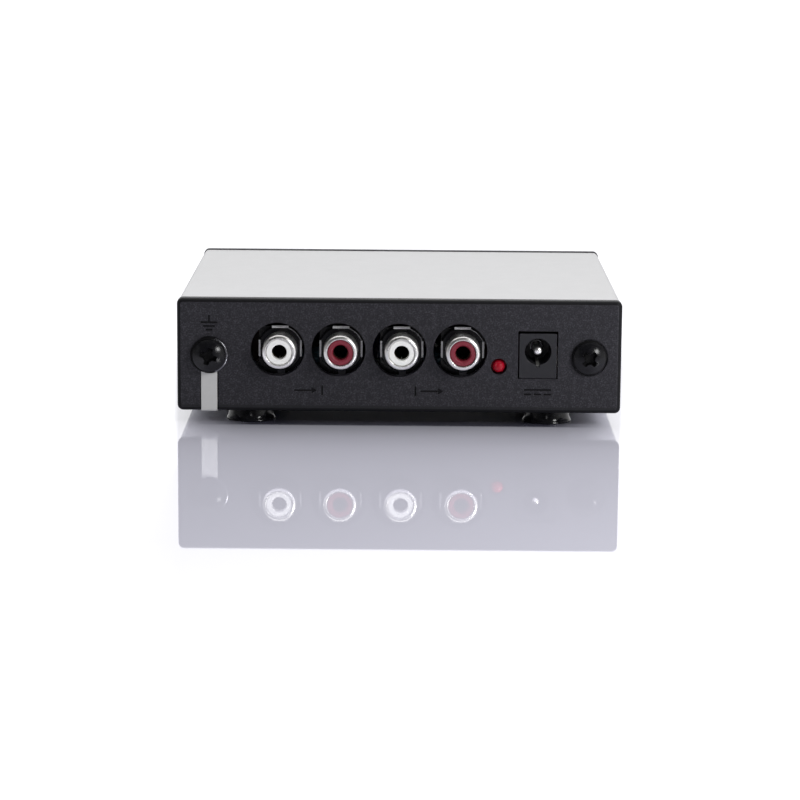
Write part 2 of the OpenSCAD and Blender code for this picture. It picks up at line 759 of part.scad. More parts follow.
// Power light
module light_lens() {
  color("red") translate([light_x, 0, light_z]) {
    translate([0, light_tip + light_d / 2, 0]) sphere(d = light_d);
    rod_y(light_d, light_tip + light_d / 2, light_back);
    rod_y(light_flange_d, light_back - light_flange_t, light_back);
  }
}
module light_leads() {
  color("silver") {
    wires(light_holes, light_z + wire_t / 2);
    for (p = light_holes) block(p.x - wire_t / 2, p.x + wire_t / 2, light_back, light_lead_y,
      light_z - wire_t / 2, light_z + wire_t / 2);
  }
}

// Circuit board
module circuit_board() {
  color("darkgreen") difference() {
    block(-board_w / 2, board_w / 2, board_y0, board_y1, board_z0, board_top);
    for (p = wire_holes) translate([p.x, p.y, board_z0 - 1])
      cylinder(d = wire_t * sqrt(2) + 2 * hole_gap, h = board_t + 2, $fn = 24);
    for (x = socket_xs) {
      translate([x, leg_y, board_z0 - 1]) cylinder(d = leg_d + 2 * hole_gap, h = board_t + 2, $fn = 24);
      block(x + lug_shift - lug_w / 2 - hole_gap, x + lug_shift + lug_w / 2 + hole_gap,
        board_y0 - 1, lug_y + lug_t + hole_gap, board_z0 - 1, board_top + 1);
    }
    inlet_slot(inlet_x, inlet_back + fit_gap + inlet_terminal_t / 2, inlet_terminal_w, inlet_terminal_t);
    inlet_slot(inlet_x, inlet_spring_y + inlet_spring_l - inlet_leg_l / 2, inlet_spring_w, inlet_leg_l);
    inlet_slot(inlet_x + inlet_w / 2 + inlet_terminal_t / 2, inlet_break_y + inlet_break_w / 2,
      inlet_terminal_t, inlet_break_w);
    translate([regulator_at.x, regulator_at.y + (regulator_l + regulator_tab_l) / 2, board_z0 - 1])
      cylinder(d = regulator_screw_d + 2 * hole_gap, h = board_t + 2);
  }
}
module inlet_slot(x, y, w, l) {
  block(x - w / 2 - hole_gap, x + w / 2 + hole_gap, y - l / 2 - hole_gap, y + l / 2 + hole_gap,
    board_z0 - 1, board_top + 1);
}

// Parts on the board
module op_amp(p) {
  color([0.15, 0.15, 0.15]) difference() {
    translate([p.x - op_amp_w / 2, p.y - op_amp_l / 2, board_top + op_amp_lift])
      cube([op_amp_w, op_amp_l, op_amp_h]);
    translate([p.x - op_amp_w / 2, p.y, board_top + op_amp_lift + op_amp_h - op_amp_notch_deep])
      cylinder(r = op_amp_notch_r, h = 1);
  }
}
module op_amp_legs(p) {
  shoulder_z = board_top + op_amp_lift + op_amp_h / 2;
  color("silver") {
    wires(legs(p), shoulder_z + wire_t / 4);
    for (q = legs(p)) {
      s = sign(q.y - p.y);
      translate([q.x - wire_t / 2, (q.y + p.y + s * op_amp_l / 2) / 2
        - (op_amp_row - op_amp_l) / 4, shoulder_z - wire_t / 4])
        cube([wire_t, (op_amp_row - op_amp_l) / 2, wire_t / 2]);
    }
  }
}
module op_amp_left() { op_amp(op_amp_left_at); }
module op_amp_left_legs() { op_amp_legs(op_amp_left_at); }
module op_amp_right() { op_amp(op_amp_right_at); }
module op_amp_right_legs() { op_amp_legs(op_amp_right_at); }

module film_capacitors(at) {
  color("firebrick") for (p = at)
    translate([p.x - film_w / 2, p.y - film_l / 2, board_top + part_gap]) cube([film_w, film_l, film_h]);
}
module film_capacitors_left() { film_capacitors(film_left_at); }
module film_capacitors_right() { film_capacitors(film_right_at); }
module film_capacitor_leads() {
  color("silver") wires(film_holes, board_top + part_gap);
}
module resistors() {
  color("lightblue") for (p = resistor_at)
    translate([p.x - resistor_l / 2, p.y, board_top + resistor_d / 2 + part_gap]) rotate([0, 90, 0])
      cylinder(d = resistor_d, h = resistor_l, $fn = 32);
}
module resistor_leads() {
  color("silver") for (p = resistor_at)
    hoop_wires(p, resistor_l, resistor_span, resistor_d / 2 + part_gap);
}
module cans(at, d, h) {
  color([0.1, 0.12, 0.3]) for (p = at) translate([p.x, p.y, board_top + can_gap]) difference() {
    cylinder(d = d, h = h);
    for (a = [0, 90]) rotate(a) translate([-d / 3, -vent_w / 2, h - vent_deep]) cube([d / 1.5, vent_w, 1]);
  }
}
module reservoir_capacitors() { cans(reservoir_at, reservoir_d, reservoir_h); }
module coupling_capacitors() { cans(coupling_at, coupling_d, coupling_h); }
module capacitor_leads() {
  color("silver") wires(can_holes, board_top + can_gap);
}
// The regulator lies on its tab, which a screw holds to the board
module regulator_body() {
  color([0.1, 0.1, 0.1]) translate([regulator_at.x - regulator_w / 2, regulator_at.y - regulator_l / 2,
    board_top + regulator_tab_t]) cube([regulator_w, regulator_l, regulator_h - regulator_tab_t]);
}
module regulator_tab() {
  y0 = regulator_at.y - regulator_l / 2;
  y1 = regulator_at.y + regulator_l / 2;
  lead_z = board_top + regulator_tab_t + wire_t;
  color("silver") {
    difference() {
      block(regulator_at.x - regulator_w / 2, regulator_at.x + regulator_w / 2, y0, y1 + regulator_tab_l,
        board_top, board_top + regulator_tab_t);
      translate([regulator_at.x, y1 + regulator_tab_l / 2, board_top - 1])
        cylinder(d = regulator_hole_d, h = regulator_tab_t + 2);
    }
    wires(regulator_leads(), lead_z);
    for (p = regulator_leads()) block(p.x - wire_t / 2, p.x + wire_t / 2, p.y, y0,
      lead_z - wire_t, lead_z);
  }
}
module regulator_screw() {
  end_z = board_z0 - regulator_nut_h - fit_gap;
  seat_z = board_top + regulator_tab_t;
  color("silver") translate([regulator_at.x, regulator_at.y + (regulator_l + regulator_tab_l) / 2, 0]) {
    translate([0, 0, seat_z]) cylinder(d = regulator_head_d, h = regulator_head_h);
    translate([0, 0, end_z]) cylinder(d = regulator_screw_d, h = seat_z + eps - end_z);
    translate([0, 0, board_z0 - regulator_nut_h])
      cylinder(d = regulator_nut_d, h = regulator_nut_h, $fn = 6);
  }
}
module choke_core() {
  color([0.2, 0.2, 0.2]) translate([choke_at.x, choke_at.y, board_top]) {
    cylinder(d = choke_d, h = choke_flange_t);
    cylinder(d = choke_core_d, h = choke_h);
    translate([0, 0, choke_h - choke_flange_t]) cylinder(d = choke_d, h = choke_flange_t);
  }
}
module choke_winding() {
  gap = part_gap;
  color("peru") {
    translate([choke_at.x, choke_at.y, board_top + choke_flange_t + gap]) difference() {
      cylinder(d = choke_d - 2 * choke_rim, h = choke_h - 2 * choke_flange_t - 2 * gap);
      translate([0, 0, -1]) cylinder(d = choke_core_d + 2 * gap, h = choke_h);
    }
  }
}
module diode() {
  color([0.12, 0.12, 0.12])
    translate([diode_at.x - diode_l / 2, diode_at.y, board_top + diode_d / 2 + part_gap])
      rotate([0, 90, 0]) cylinder(d = diode_d, h = diode_l, $fn = 32);
}
module diode_leads() {
  color("silver") hoop_wires(diode_at, diode_l, resistor_span, diode_d / 2 + part_gap);
}

sleeve();
rear_panel();
front_panel();
case_screw();
case_washer();
ground_screw();
ground_washer();
ground_strap();
foot_rear_left();
foot_rear_right();
foot_front_left();
foot_front_right();
circuit_board();
input_left_block();
input_left_barrel();
input_left_insulator();
input_left_contact();
input_right_block();
input_right_barrel();
input_right_insulator();
input_right_contact();
output_left_block();
output_left_barrel();
output_left_insulator();
output_left_contact();
output_right_block();
output_right_barrel();
output_right_insulator();
output_right_contact();
inlet_body();
inlet_pin();
inlet_spring();
inlet_break_contact();
light_lens();
light_leads();
op_amp_left();
op_amp_left_legs();
op_amp_right();
op_amp_right_legs();
film_capacitors_left();
film_capacitors_right();
film_capacitor_leads();
resistors();
resistor_leads();
reservoir_capacitors();
coupling_capacitors();
capacitor_leads();
regulator_body();
regulator_tab();
regulator_screw();
choke_core();
choke_winding();
diode();
diode_leads();
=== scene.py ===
"""Looks of a phono preamp: sleeve, moulded end panels, sockets, ground terminal, light and inlet.

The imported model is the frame. Sizes below are in millimetres; a finished piece is in metres.
X runs right as seen from the rear panel, Y from the rear panel to the front, Z up from the floor.
"""
import json
from math import cos, pi, radians, sin

import bmesh
import bpy
from mathutils import Matrix, Vector


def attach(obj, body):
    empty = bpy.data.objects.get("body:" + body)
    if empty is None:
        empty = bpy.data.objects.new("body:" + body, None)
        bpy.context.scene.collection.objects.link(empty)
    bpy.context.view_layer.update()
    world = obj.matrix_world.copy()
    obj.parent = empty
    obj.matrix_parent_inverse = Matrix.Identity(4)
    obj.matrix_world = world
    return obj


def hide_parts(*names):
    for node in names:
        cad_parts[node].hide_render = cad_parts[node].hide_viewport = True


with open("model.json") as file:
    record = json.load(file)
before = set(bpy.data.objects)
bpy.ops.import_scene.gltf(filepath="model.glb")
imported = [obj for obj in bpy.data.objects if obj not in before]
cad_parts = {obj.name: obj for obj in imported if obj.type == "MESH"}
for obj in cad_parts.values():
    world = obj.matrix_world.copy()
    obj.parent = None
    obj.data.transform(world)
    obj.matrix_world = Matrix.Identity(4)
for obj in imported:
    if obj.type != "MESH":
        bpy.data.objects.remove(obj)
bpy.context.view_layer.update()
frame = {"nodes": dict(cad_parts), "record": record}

MM = 0.001

# Case: the panels' outside, the sleeve between them, and the circuit board's faces
HALF_W = 53.5
PANEL_LOW, PANEL_HIGH = 3.5, 30.9
PANEL_T = 3.0
PANEL_CORNER_R, PANEL_EDGE_R = 1.4, 1.15
REAR_Y, FRONT_Y = -44.25, 48.75
REAR_IN, FRONT_IN = REAR_Y + PANEL_T, FRONT_Y - PANEL_T
SLEEVE_HALF_W, SLEEVE_LOW, SLEEVE_HIGH = 53.3, 3.7, 30.7
SLEEVE_T, SLEEVE_R = 1.6, 1.2
CHANNEL_R = 3.6
BOARD_TOP, BOARD_LOW = 12.05, 10.45
LEGS_LOW = 8.95  # how far legs reach through the board
FOOT_X, FOOT_YS = 36.2, {"rear": -34.55, "front": 39.05}

# Screws, washers and strap
SCREW_X, MID_Z = 45.75, 17.2
SEAT_DEEP = 0.5
SHANK_R, SHANK_L = 1.95, 12.0
SHANK_HOLE_R = 2.15
HEAD_R, HEAD_H, DOME_H = 3.85, 2.4, 1.6
WASHER_T, WASHER_HOLE_R = 0.8, 2.0
STRAP_HALF_W, STRAP_T = 1.93, 0.32

# Sockets, inlet, light and sunk signs
SOCKET_XS = [-28.7, -14.05, 0.6, 15.25]
SOCKET_Z = 18.65
OPENING_R, OPENING_SHIFT = 6.5, 0.55
BARREL_R = 4.15
INLET_X, INLET_Z = 33.4, 18.55
INLET_FACE, INLET_L = REAR_Y + 0.2, 14.0
BORE_R, BORE_DEEP = 3.2, 9.0
PIN_R = 1.05
LIGHT_X, LIGHT_Z = 24.0, 14.9
SIGN_DEEP, SIGN_LINE = 0.25, 0.45


# ---------------------------------------------------------------- shapes

def block(x0, x1, y0, y1, z0, z1):
    """A box between two corners."""
    bm = bmesh.new()
    bmesh.ops.create_cube(bm, size=1)
    bmesh.ops.scale(bm, vec=(x1 - x0, y1 - y0, z1 - z0), verts=bm.verts)
    bmesh.ops.translate(bm, vec=((x0 + x1) / 2, (y0 + y1) / 2, (z0 + z1) / 2), verts=bm.verts)
    return bm


def bevel(bm, edges, width, segments=3):
    bmesh.ops.bevel(bm, geom=list(edges), offset=width, offset_type="OFFSET", affect="EDGES",
                    segments=segments, profile=0.5, material=-1, clamp_overlap=True)


def along(bm, axis):
    """The edges that run along an axis."""
    return [e for e in bm.edges
            if abs((e.verts[0].co - e.verts[1].co).normalized()[axis]) > 0.999]


def rim_at(bm, axis, level):
    """The edges round the outline of the flat face at that level."""
    flat = [e for e in bm.edges if all(abs(v.co[axis] - level) < 1e-4 for v in e.verts)]
    return [e for e in flat if any(abs(f.normal[axis]) < 0.9 for f in e.link_faces)]


def lathe(profile, x=0.0, z=0.0, steps=96):
    """A turned piece about an axis along Y. The profile is (radius, y) points, first to last."""
    bm = bmesh.new()
    ring = [bm.verts.new((r, y, 0)) for r, y in profile]
    if profile[0] == profile[-1]:
        bm.verts.remove(ring.pop())
        ring.append(ring[0])
    edges = [bm.edges.new(pair) for pair in zip(ring, ring[1:])]
    bmesh.ops.spin(bm, geom=list(bm.verts) + edges, cent=(0, 0, 0), axis=(0, 1, 0), dvec=(0, 0, 0),
                   angle=2 * pi, steps=steps, use_merge=True)
    bmesh.ops.remove_doubles(bm, verts=bm.verts, dist=1e-4)
    bmesh.ops.recalc_face_normals(bm, faces=bm.faces)
    bmesh.ops.translate(bm, vec=(x, 0, z), verts=bm.verts)
    return bm


def rod(radius, y0, y1, x=0.0, z=0.0, steps=96):
    """A plain round bar along Y."""
    return lathe([(0, y0), (radius, y0), (radius, y1), (0, y1)], x, z, steps)


def turned(bm, matrix):
    bmesh.ops.transform(bm, matrix=matrix, verts=bm.verts)
    return bm


def upright(bm, x, y):
    """A piece turned along Y is stood up along Z, its front end down, at x and y."""
    return turned(bm, Matrix.Translation((x, y, 0)) @ Matrix.Rotation(pi / 2, 4, "X"))


def ordered(mesh):
    """The mesh's shape with its vertices and faces in one order, however they came."""
    places = sorted(range(len(mesh.vertices)), key=lambda i: tuple(mesh.vertices[i].co))
    rank = {old: new for new, old in enumerate(places)}
    rounds = []
    for face in mesh.polygons:
        ranks = [rank[i] for i in face.vertices]
        first = ranks.index(min(ranks))
        rounds.append((ranks[first:] + ranks[:first], face.material_index))
    rounds.sort()
    plain = bpy.data.meshes.new("ordered")
    plain.from_pydata([mesh.vertices[i].co for i in places], [], [ranks for ranks, _ in rounds])
    for face, (_, index) in zip(plain.polygons, rounds):
        face.material_index = index
    bm = bmesh.new()
    bm.from_mesh(plain)
    bpy.data.meshes.remove(plain)
    return bm


def as_object(bm, name="part"):
    mesh = bpy.data.meshes.new(name)
    bm.to_mesh(mesh)
    bm.free()
    same = ordered(mesh)
    same.to_mesh(mesh)
    same.free()
    made = bpy.data.objects.new(name, mesh)
    bpy.context.scene.collection.objects.link(made)
    return made


def shaped(bm, tools, operation):
    """The shape after each tool is cut from it or joined to it."""
    base = as_object(bm)
    held = [as_object(tool) for tool in tools]
    for tool in held:
        step = base.modifiers.new("step", "BOOLEAN")
        step.operation, step.solver, step.object = operation, "EXACT", tool
    bpy.context.view_layer.update()
    seen = base.evaluated_get(bpy.context.evaluated_depsgraph_get())
    result = ordered(seen.to_mesh())
    seen.to_mesh_clear()
    for used in [base] + held:
        mesh = used.data
        bpy.data.objects.remove(used)
        bpy.data.meshes.remove(mesh)
    bmesh.ops.remove_doubles(result, verts=result.verts, dist=2e-4)
    bmesh.ops.dissolve_limit(result, angle_limit=radians(0.3), verts=result.verts,
                             edges=result.edges)
    return result


def cut(bm, *tools):
    return shaped(bm, tools, "DIFFERENCE")


def joined(bm, *tools):
    return shaped(bm, tools, "UNION")


def marked(bm, index, chosen):
    """Gives the faces that a test chooses another of the piece's finishes."""
    for face in bm.faces:
        if chosen(face.calc_center_median(), face.normal):
            face.material_index = index
    return bm


def crease(mesh, sharp):
    """Smooth shading that stops at corners, and where a broad face meets a narrow rounding."""
    flat, far_broader = radians(2), 6
    mesh.shade_smooth()
    bm = bmesh.new()
    bm.from_mesh(mesh)
    for edge in bm.edges:
        if len(edge.link_faces) == 2:
            bend = edge.calc_face_angle(0.0)
            narrow, broad = sorted(f.calc_area() for f in edge.link_faces)
            alike = bend < flat or broad < far_broader * narrow
            edge.smooth = bend < radians(sharp) and alike
    bm.to_mesh(mesh)
    bm.free()


def piece(name, bm, finish, *nodes, body="case", edge=0.0, segments=2, sharp=30.0):
    """Finishes a shape: metres, softened edges, smooth shading, its finish and its body."""
    bmesh.ops.scale(bm, vec=(MM, MM, MM), verts=bm.verts)
    made = as_object(bm, name)
    for each in finish if isinstance(finish, list) else [finish]:
        made.data.materials.append(each)
    if edge:
        soft = made.modifiers.new("softened edges", "BEVEL")
        soft.width, soft.segments, soft.limit_method = edge * MM, segments, "ANGLE"
        soft.angle_limit, soft.use_clamp_overlap = radians(sharp), True
        soft.miter_outer = "MITER_ARC"
        bpy.context.view_layer.update()
        seen = made.evaluated_get(bpy.context.evaluated_depsgraph_get())
        plain, made.data = made.data, bpy.data.meshes.new_from_object(seen)
        made.modifiers.clear()
        bpy.data.meshes.remove(plain)
    crease(made.data, sharp)
    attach(made, body)
    if nodes:
        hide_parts(*nodes)
    return made


# ---------------------------------------------------------------- finishes

class Value:
    """A shader output that takes part in sums with numbers and other outputs."""

    def __init__(self, finish, socket):
        self.finish, self.socket = finish, socket

    def _sum(self, operation, first, second):
        return self.finish.add("ShaderNodeMath", {"operation": operation}, {0: first, 1: second})

    def __add__(self, other): return self._sum("ADD", self, other)
    def __sub__(self, other): return self._sum("SUBTRACT", self, other)
    def __rsub__(self, other): return self._sum("SUBTRACT", other, self)
    def __mul__(self, other): return self._sum("MULTIPLY", self, other)
    def __pow__(self, other): return self._sum("POWER", self, other)


class Shades:
    """A node tree that is written as sums of values and named nodes."""

    def __init__(self, tree):
        self.tree = tree
        tree.nodes.clear()

    def add(self, kind, settings=None, inputs=None, output=0):
        """A node of that type, with its settings made first, then its inputs' values or links."""
        node = self.tree.nodes.new(kind)
        for key, value in (settings or {}).items():
            if key == "stops":
                ramp = node.color_ramp
                while len(ramp.elements) < len(value):
                    ramp.elements.new(0.5)
                for stop, (at, shade) in zip(ramp.elements, value):
                    stop.position, stop.color = at, (*shade, 1) if len(shade) == 3 else shade
            else:
                setattr(node, key, value)
        for key, value in (inputs or {}).items():
            if isinstance(value, Value):
                self.tree.links.new(value.socket, node.inputs[key])
            else:
                node.inputs[key].default_value = value
        return Value(self, node.outputs[output])

    def span(self, value, low, high, to_low=0.0, to_high=1.0):
        """The value carried from one range to another, held at the ends."""
        return self.add("ShaderNodeMapRange", {"clamp": True},
                        {"Value": value, "From Min": low, "From Max": high,
                         "To Min": to_low, "To Max": to_high})

    def mix(self, factor, first, second):
        """A colour between two."""
        four = lambda c: c if isinstance(c, Value) else (*c, 1)
        return self.add("ShaderNodeMix", {"data_type": "RGBA", "clamp_factor": True},
                        {0: factor, 6: four(first), 7: four(second)}, output=2)

    def axis(self, name, at):
        return self.add("ShaderNodeSeparateXYZ", inputs={0: at}, output=name)

    def ray(self, kind):
        return self.add("ShaderNodeLightPath", output="Is " + kind + " Ray")


class Finish(Shades):
    """A procedural finish built round one Principled shader; places are object coordinates."""

    def __init__(self, name, **constants):
        self.material = bpy.data.materials.new(name)
        self.material.use_nodes = True
        super().__init__(self.material.node_tree)
        self.out = self.tree.nodes.new("ShaderNodeOutputMaterial")
        self.shader = self.tree.nodes.new("ShaderNodeBsdfPrincipled")
        self.tree.links.new(self.shader.outputs[0], self.out.inputs["Surface"])
        self.set(**constants)
        self.place = self.add("ShaderNodeTexCoord", output="Object")

    def set(self, **values):
        """Sets the shader's own sockets, by number, colour or link. Spaces are written as _."""
        for key, value in values.items():
            socket = self.shader.inputs[key.replace("_", " ")]
            if isinstance(value, Value):
                self.tree.links.new(value.socket, socket)
            else:
                socket.default_value = (*value, 1) if isinstance(value, tuple) else value

    def grain(self, size, detail=2.0, rough=0.5, at=None):
        """Noise of that grain size, in millimetres, from 0 to 1."""
        return self.add("ShaderNodeTexNoise", {"noise_dimensions": "3D"},
                        {"Vector": at or self.place, "Scale": 1 / (size * MM), "Detail": detail,
                         "Roughness": rough})

    def squeezed(self, scale):
        """Object coordinates made larger or smaller along each axis."""
        return self.add("ShaderNodeMapping", {"vector_type": "POINT"},
                        {"Vector": self.place, "Scale": scale})

    def bump(self, height, depth):
        """Relief of that depth, in millimetres, from a height of 0 to 1."""
        normal = self.add("ShaderNodeBump", inputs={"Height": height, "Distance": depth * MM,
                                                    "Strength": 1.0})
        self.set(Normal=normal)


def beaded_aluminium():
    f = Finish("beaded_aluminium", Metallic=1.0)
    fine, broad = f.grain(0.28, 3, 0.6), f.grain(4.0, 2)
    mottle = f.span(fine * 0.75 + broad * 0.25, 0.3, 0.7)
    f.set(Base_Color=f.mix(mottle, (0.43, 0.43, 0.437), (0.49, 0.49, 0.497)),
          Roughness=f.span(fine, 0.3, 0.7, 0.38, 0.50))
    f.bump(f.grain(0.2, 2), 0.02)
    return f.material


def textured_plastic():
    """Spark-eroded moulding: pits and flats of a few tenths of a millimetre, with painted shade:
    darker along the bottom edge.
    """
    f = Finish("textured_plastic", Specular_IOR_Level=0.27)
    spark, fleck, cloud = f.grain(0.45, 3, 0.7), f.grain(0.34, 2, 0.6), f.grain(1.3, 2, 0.6)
    light = f.span(fleck * 0.7 + cloud * 0.3, 0.48, 0.66)
    painted_shade_low = f.span(f.axis("Z", f.place), 5.15 * MM, 4.85 * MM)
    open_face = f.mix(light, (0.0110, 0.0105, 0.0140), (0.038, 0.037, 0.045))
    # painted shade: the colour turns darker along the panel's bottom edge
    f.set(Base_Color=f.mix(painted_shade_low, open_face, (0.008, 0.008, 0.010)),
          Roughness=f.span(spark, 0.3, 0.7, 0.38, 0.62))
    f.bump(spark, 0.12)
    return f.material


def smooth_moulding(name, low, high):
    """The same plastic where the mould was polished, coloured darker as painted shade where it is
    used.
    """
    f = Finish(name, Specular_IOR_Level=0.12)
    faint = f.grain(0.5, 3, 0.6)
    f.set(Base_Color=f.mix(faint, (low, low, low * 1.2), (high, high, high * 1.2)),
          Roughness=f.span(faint, 0.3, 0.7, 0.42, 0.56))
    f.bump(faint, 0.02)
    return f.material


def black_steel():
    f = Finish("black_steel", Specular_IOR_Level=0.24)
    worn = f.grain(0.6, 4, 0.7)
    f.set(Base_Color=f.mix(f.span(worn, 0.45, 0.75), (0.003, 0.003, 0.004), (0.008, 0.008, 0.010)),
          Roughness=f.span(worn, 0.3, 0.7, 0.18, 0.26))
    f.bump(f.grain(0.3, 3), 0.003)
    return f.material


def recess_shade():
    """Painted shade: a darker, duller black for the screw's recess and the washers' chamfers."""
    f = Finish("recess_shade", Specular_IOR_Level=0.12)
    thick = f.grain(0.35, 3, 0.6)
    f.set(Base_Color=f.mix(thick, (0.0012, 0.0012, 0.0014), (0.004, 0.004, 0.0045)),
          Roughness=f.span(thick, 0.3, 0.7, 0.50, 0.70))
    f.bump(thick, 0.01)
    return f.material


def tinned_strap():
    f = Finish("tinned_strap", Specular_IOR_Level=0.35)
    streak = f.grain(0.5, 3, 0.6, f.squeezed((6.0, 6.0, 0.35)))
    cloud = f.grain(1.6, 2)
    f.set(Base_Color=f.mix(streak * 0.6 + cloud * 0.4, (0.40, 0.40, 0.395), (0.50, 0.50, 0.49)),
          Roughness=f.span(streak, 0.3, 0.7, 0.50, 0.64))
    f.bump(streak * 0.5 + cloud * 0.5, 0.012)
    return f.material


def foot_rubber():
    f = Finish("foot_rubber", Specular_IOR_Level=0.3)
    skin = f.grain(0.5, 4, 0.6)
    f.set(Base_Color=f.mix(skin, (0.0045, 0.0045, 0.0060), (0.0080, 0.0080, 0.0100)),
          Roughness=f.span(skin, 0.3, 0.7, 0.12, 0.17))
    f.bump(skin, 0.0006)
    return f.material


def socket_plastic():
    f = Finish("socket_plastic", Specular_IOR_Level=0.15)
    flow = f.grain(1.2, 3, 0.6)
    f.set(Base_Color=f.mix(flow, (0.0025, 0.0025, 0.003), (0.006, 0.006, 0.007)),
          Roughness=f.span(flow, 0.3, 0.7, 0.14, 0.24))
    f.bump(flow, 0.01)
    return f.material


def painted_collar_highlight():
    """The bevels of a socket's collar, coloured far paler than the moulding: a painted highlight.
    """
    f = Finish("painted_collar_highlight", Specular_IOR_Level=0.5)
    rub = f.grain(0.35, 3, 0.6)
    f.set(Base_Color=f.mix(f.span(rub, 0.35, 0.65), (0.46, 0.46, 0.47), (0.66, 0.66, 0.67)),
          Roughness=f.span(rub, 0.3, 0.7, 0.34, 0.50))
    f.bump(rub, 0.01)
    return f.material


def barrel_lug_painted_shade():
    """The barrel's lug, duller than the satin plating and coloured dark: painted shade deep in the
    opening.
    """
    f = Finish("barrel_lug_painted_shade", Metallic=0.9)
    dull = f.grain(0.4, 3, 0.6)
    f.set(Base_Color=f.mix(dull, (0.030, 0.030, 0.036), (0.075, 0.075, 0.085)),
          Roughness=f.span(dull, 0.3, 0.7, 0.35, 0.55))
    f.bump(dull, 0.01)
    return f.material


def nickel(name, low, high, shade=1.0):
    """Satin plating over turned metal, between two roughnesses, as bright as shade."""
    f = Finish(name, Metallic=1.0)
    soft, fine = f.grain(0.8, 3), f.grain(0.25, 2)
    f.set(Base_Color=f.mix(soft, tuple(shade * c for c in (0.84, 0.83, 0.80)),
                           tuple(shade * c for c in (0.91, 0.90, 0.88))),
          Roughness=f.span(soft * 0.6 + fine * 0.4, 0.35, 0.65, low, high))
    f.bump(fine, 0.0008)
    return f.material


def socket_contact():
    """Spring bronze: a dull rim at the mouth, and darker down the bore."""
    f = Finish("contact_metal", Metallic=1.0)
    fine = f.grain(0.3, 3)
    # the colour turns darker down the bore
    deep = f.span(f.axis("Y", f.place), -46.05 * MM, -44.5 * MM)
    rim = f.mix(fine, (0.030, 0.024, 0.015), (0.050, 0.040, 0.025))
    f.set(Base_Color=f.mix(deep, rim, (0.006, 0.005, 0.004)),
          Roughness=f.span(fine, 0.3, 0.7, 0.40, 0.60))
    f.bump(fine, 0.004)
    return f.material


def insulator(name, dark, light):
    f = Finish(name, Specular_IOR_Level=0.5)
    swirl, fine = f.grain(0.9, 3), f.grain(0.15, 2)
    f.set(Base_Color=f.mix(swirl, dark, light), Roughness=f.span(fine, 0.3, 0.7, 0.32, 0.44))
    f.bump(fine, 0.006)
    return f.material


def inlet_plastic():
    f = Finish("inlet_plastic", Specular_IOR_Level=0.35)
    fine = f.grain(0.25, 3)
    f.set(Base_Color=f.mix(fine, (0.0095, 0.0095, 0.0120), (0.0150, 0.0150, 0.0185)),
          Roughness=f.span(fine, 0.3, 0.7, 0.36, 0.50))
    f.bump(fine, 0.008)
    return f.material


def red_lens():
    # painted glow: the unlit lens is given a faint red emission
    f = Finish("red_lens", Coat_Weight=0.3, Coat_Roughness=0.04, Emission_Strength=0.06,
               Specular_IOR_Level=0.15)
    cloud = f.grain(1.2, 2)
    deep = f.mix(cloud, (0.22, 0.0012, 0.008), (0.29, 0.0020, 0.013))
    f.set(Base_Color=deep, Emission_Color=deep, Roughness=f.span(cloud, 0.3, 0.7, 0.24, 0.34))
    f.bump(cloud, 0.003)
    return f.material


def grained(name, dark, light, rough, grain=0.4, depth=0.008, **constants):
    """A plain finish for the pieces inside: two near colours in a grain, with its own relief."""
    f = Finish(name, **constants)
    fine = f.grain(grain, 3)
    f.set(Base_Color=f.mix(fine, dark, light),
          Roughness=f.span(fine, 0.3, 0.7, rough - 0.07, rough + 0.07))
    f.bump(fine, depth)
    return f.material


def board_laminate():
    """Solder mask over copper: lighter runs where tracks lie under it, and the weave beneath."""
    f = Finish("board_laminate", Coat_Weight=0.4, Coat_Roughness=0.15)
    track = f.add("ShaderNodeTexBrick", {"offset": 0.5, "squash": 1.0},
                  {"Vector": f.place, "Color1": (1, 1, 1, 1), "Color2": (0.6, 0.6, 0.6, 1),
                   "Mortar": (0, 0, 0, 1), "Scale": 60.0, "Mortar Size": 0.02,
                   "Brick Width": 0.6, "Row Height": 0.15})
    weave = f.add("ShaderNodeTexWave", {"wave_type": "BANDS", "bands_direction": "X"},
                  {"Vector": f.place, "Scale": 700.0, "Distortion": 0.4})
    f.set(Base_Color=f.mix(track, (0.004, 0.032, 0.014), (0.008, 0.060, 0.026)),
          Roughness=f.span(weave, 0, 1, 0.26, 0.36))
    f.bump(track * 0.8 + weave * 0.2, 0.03)
    return f.material


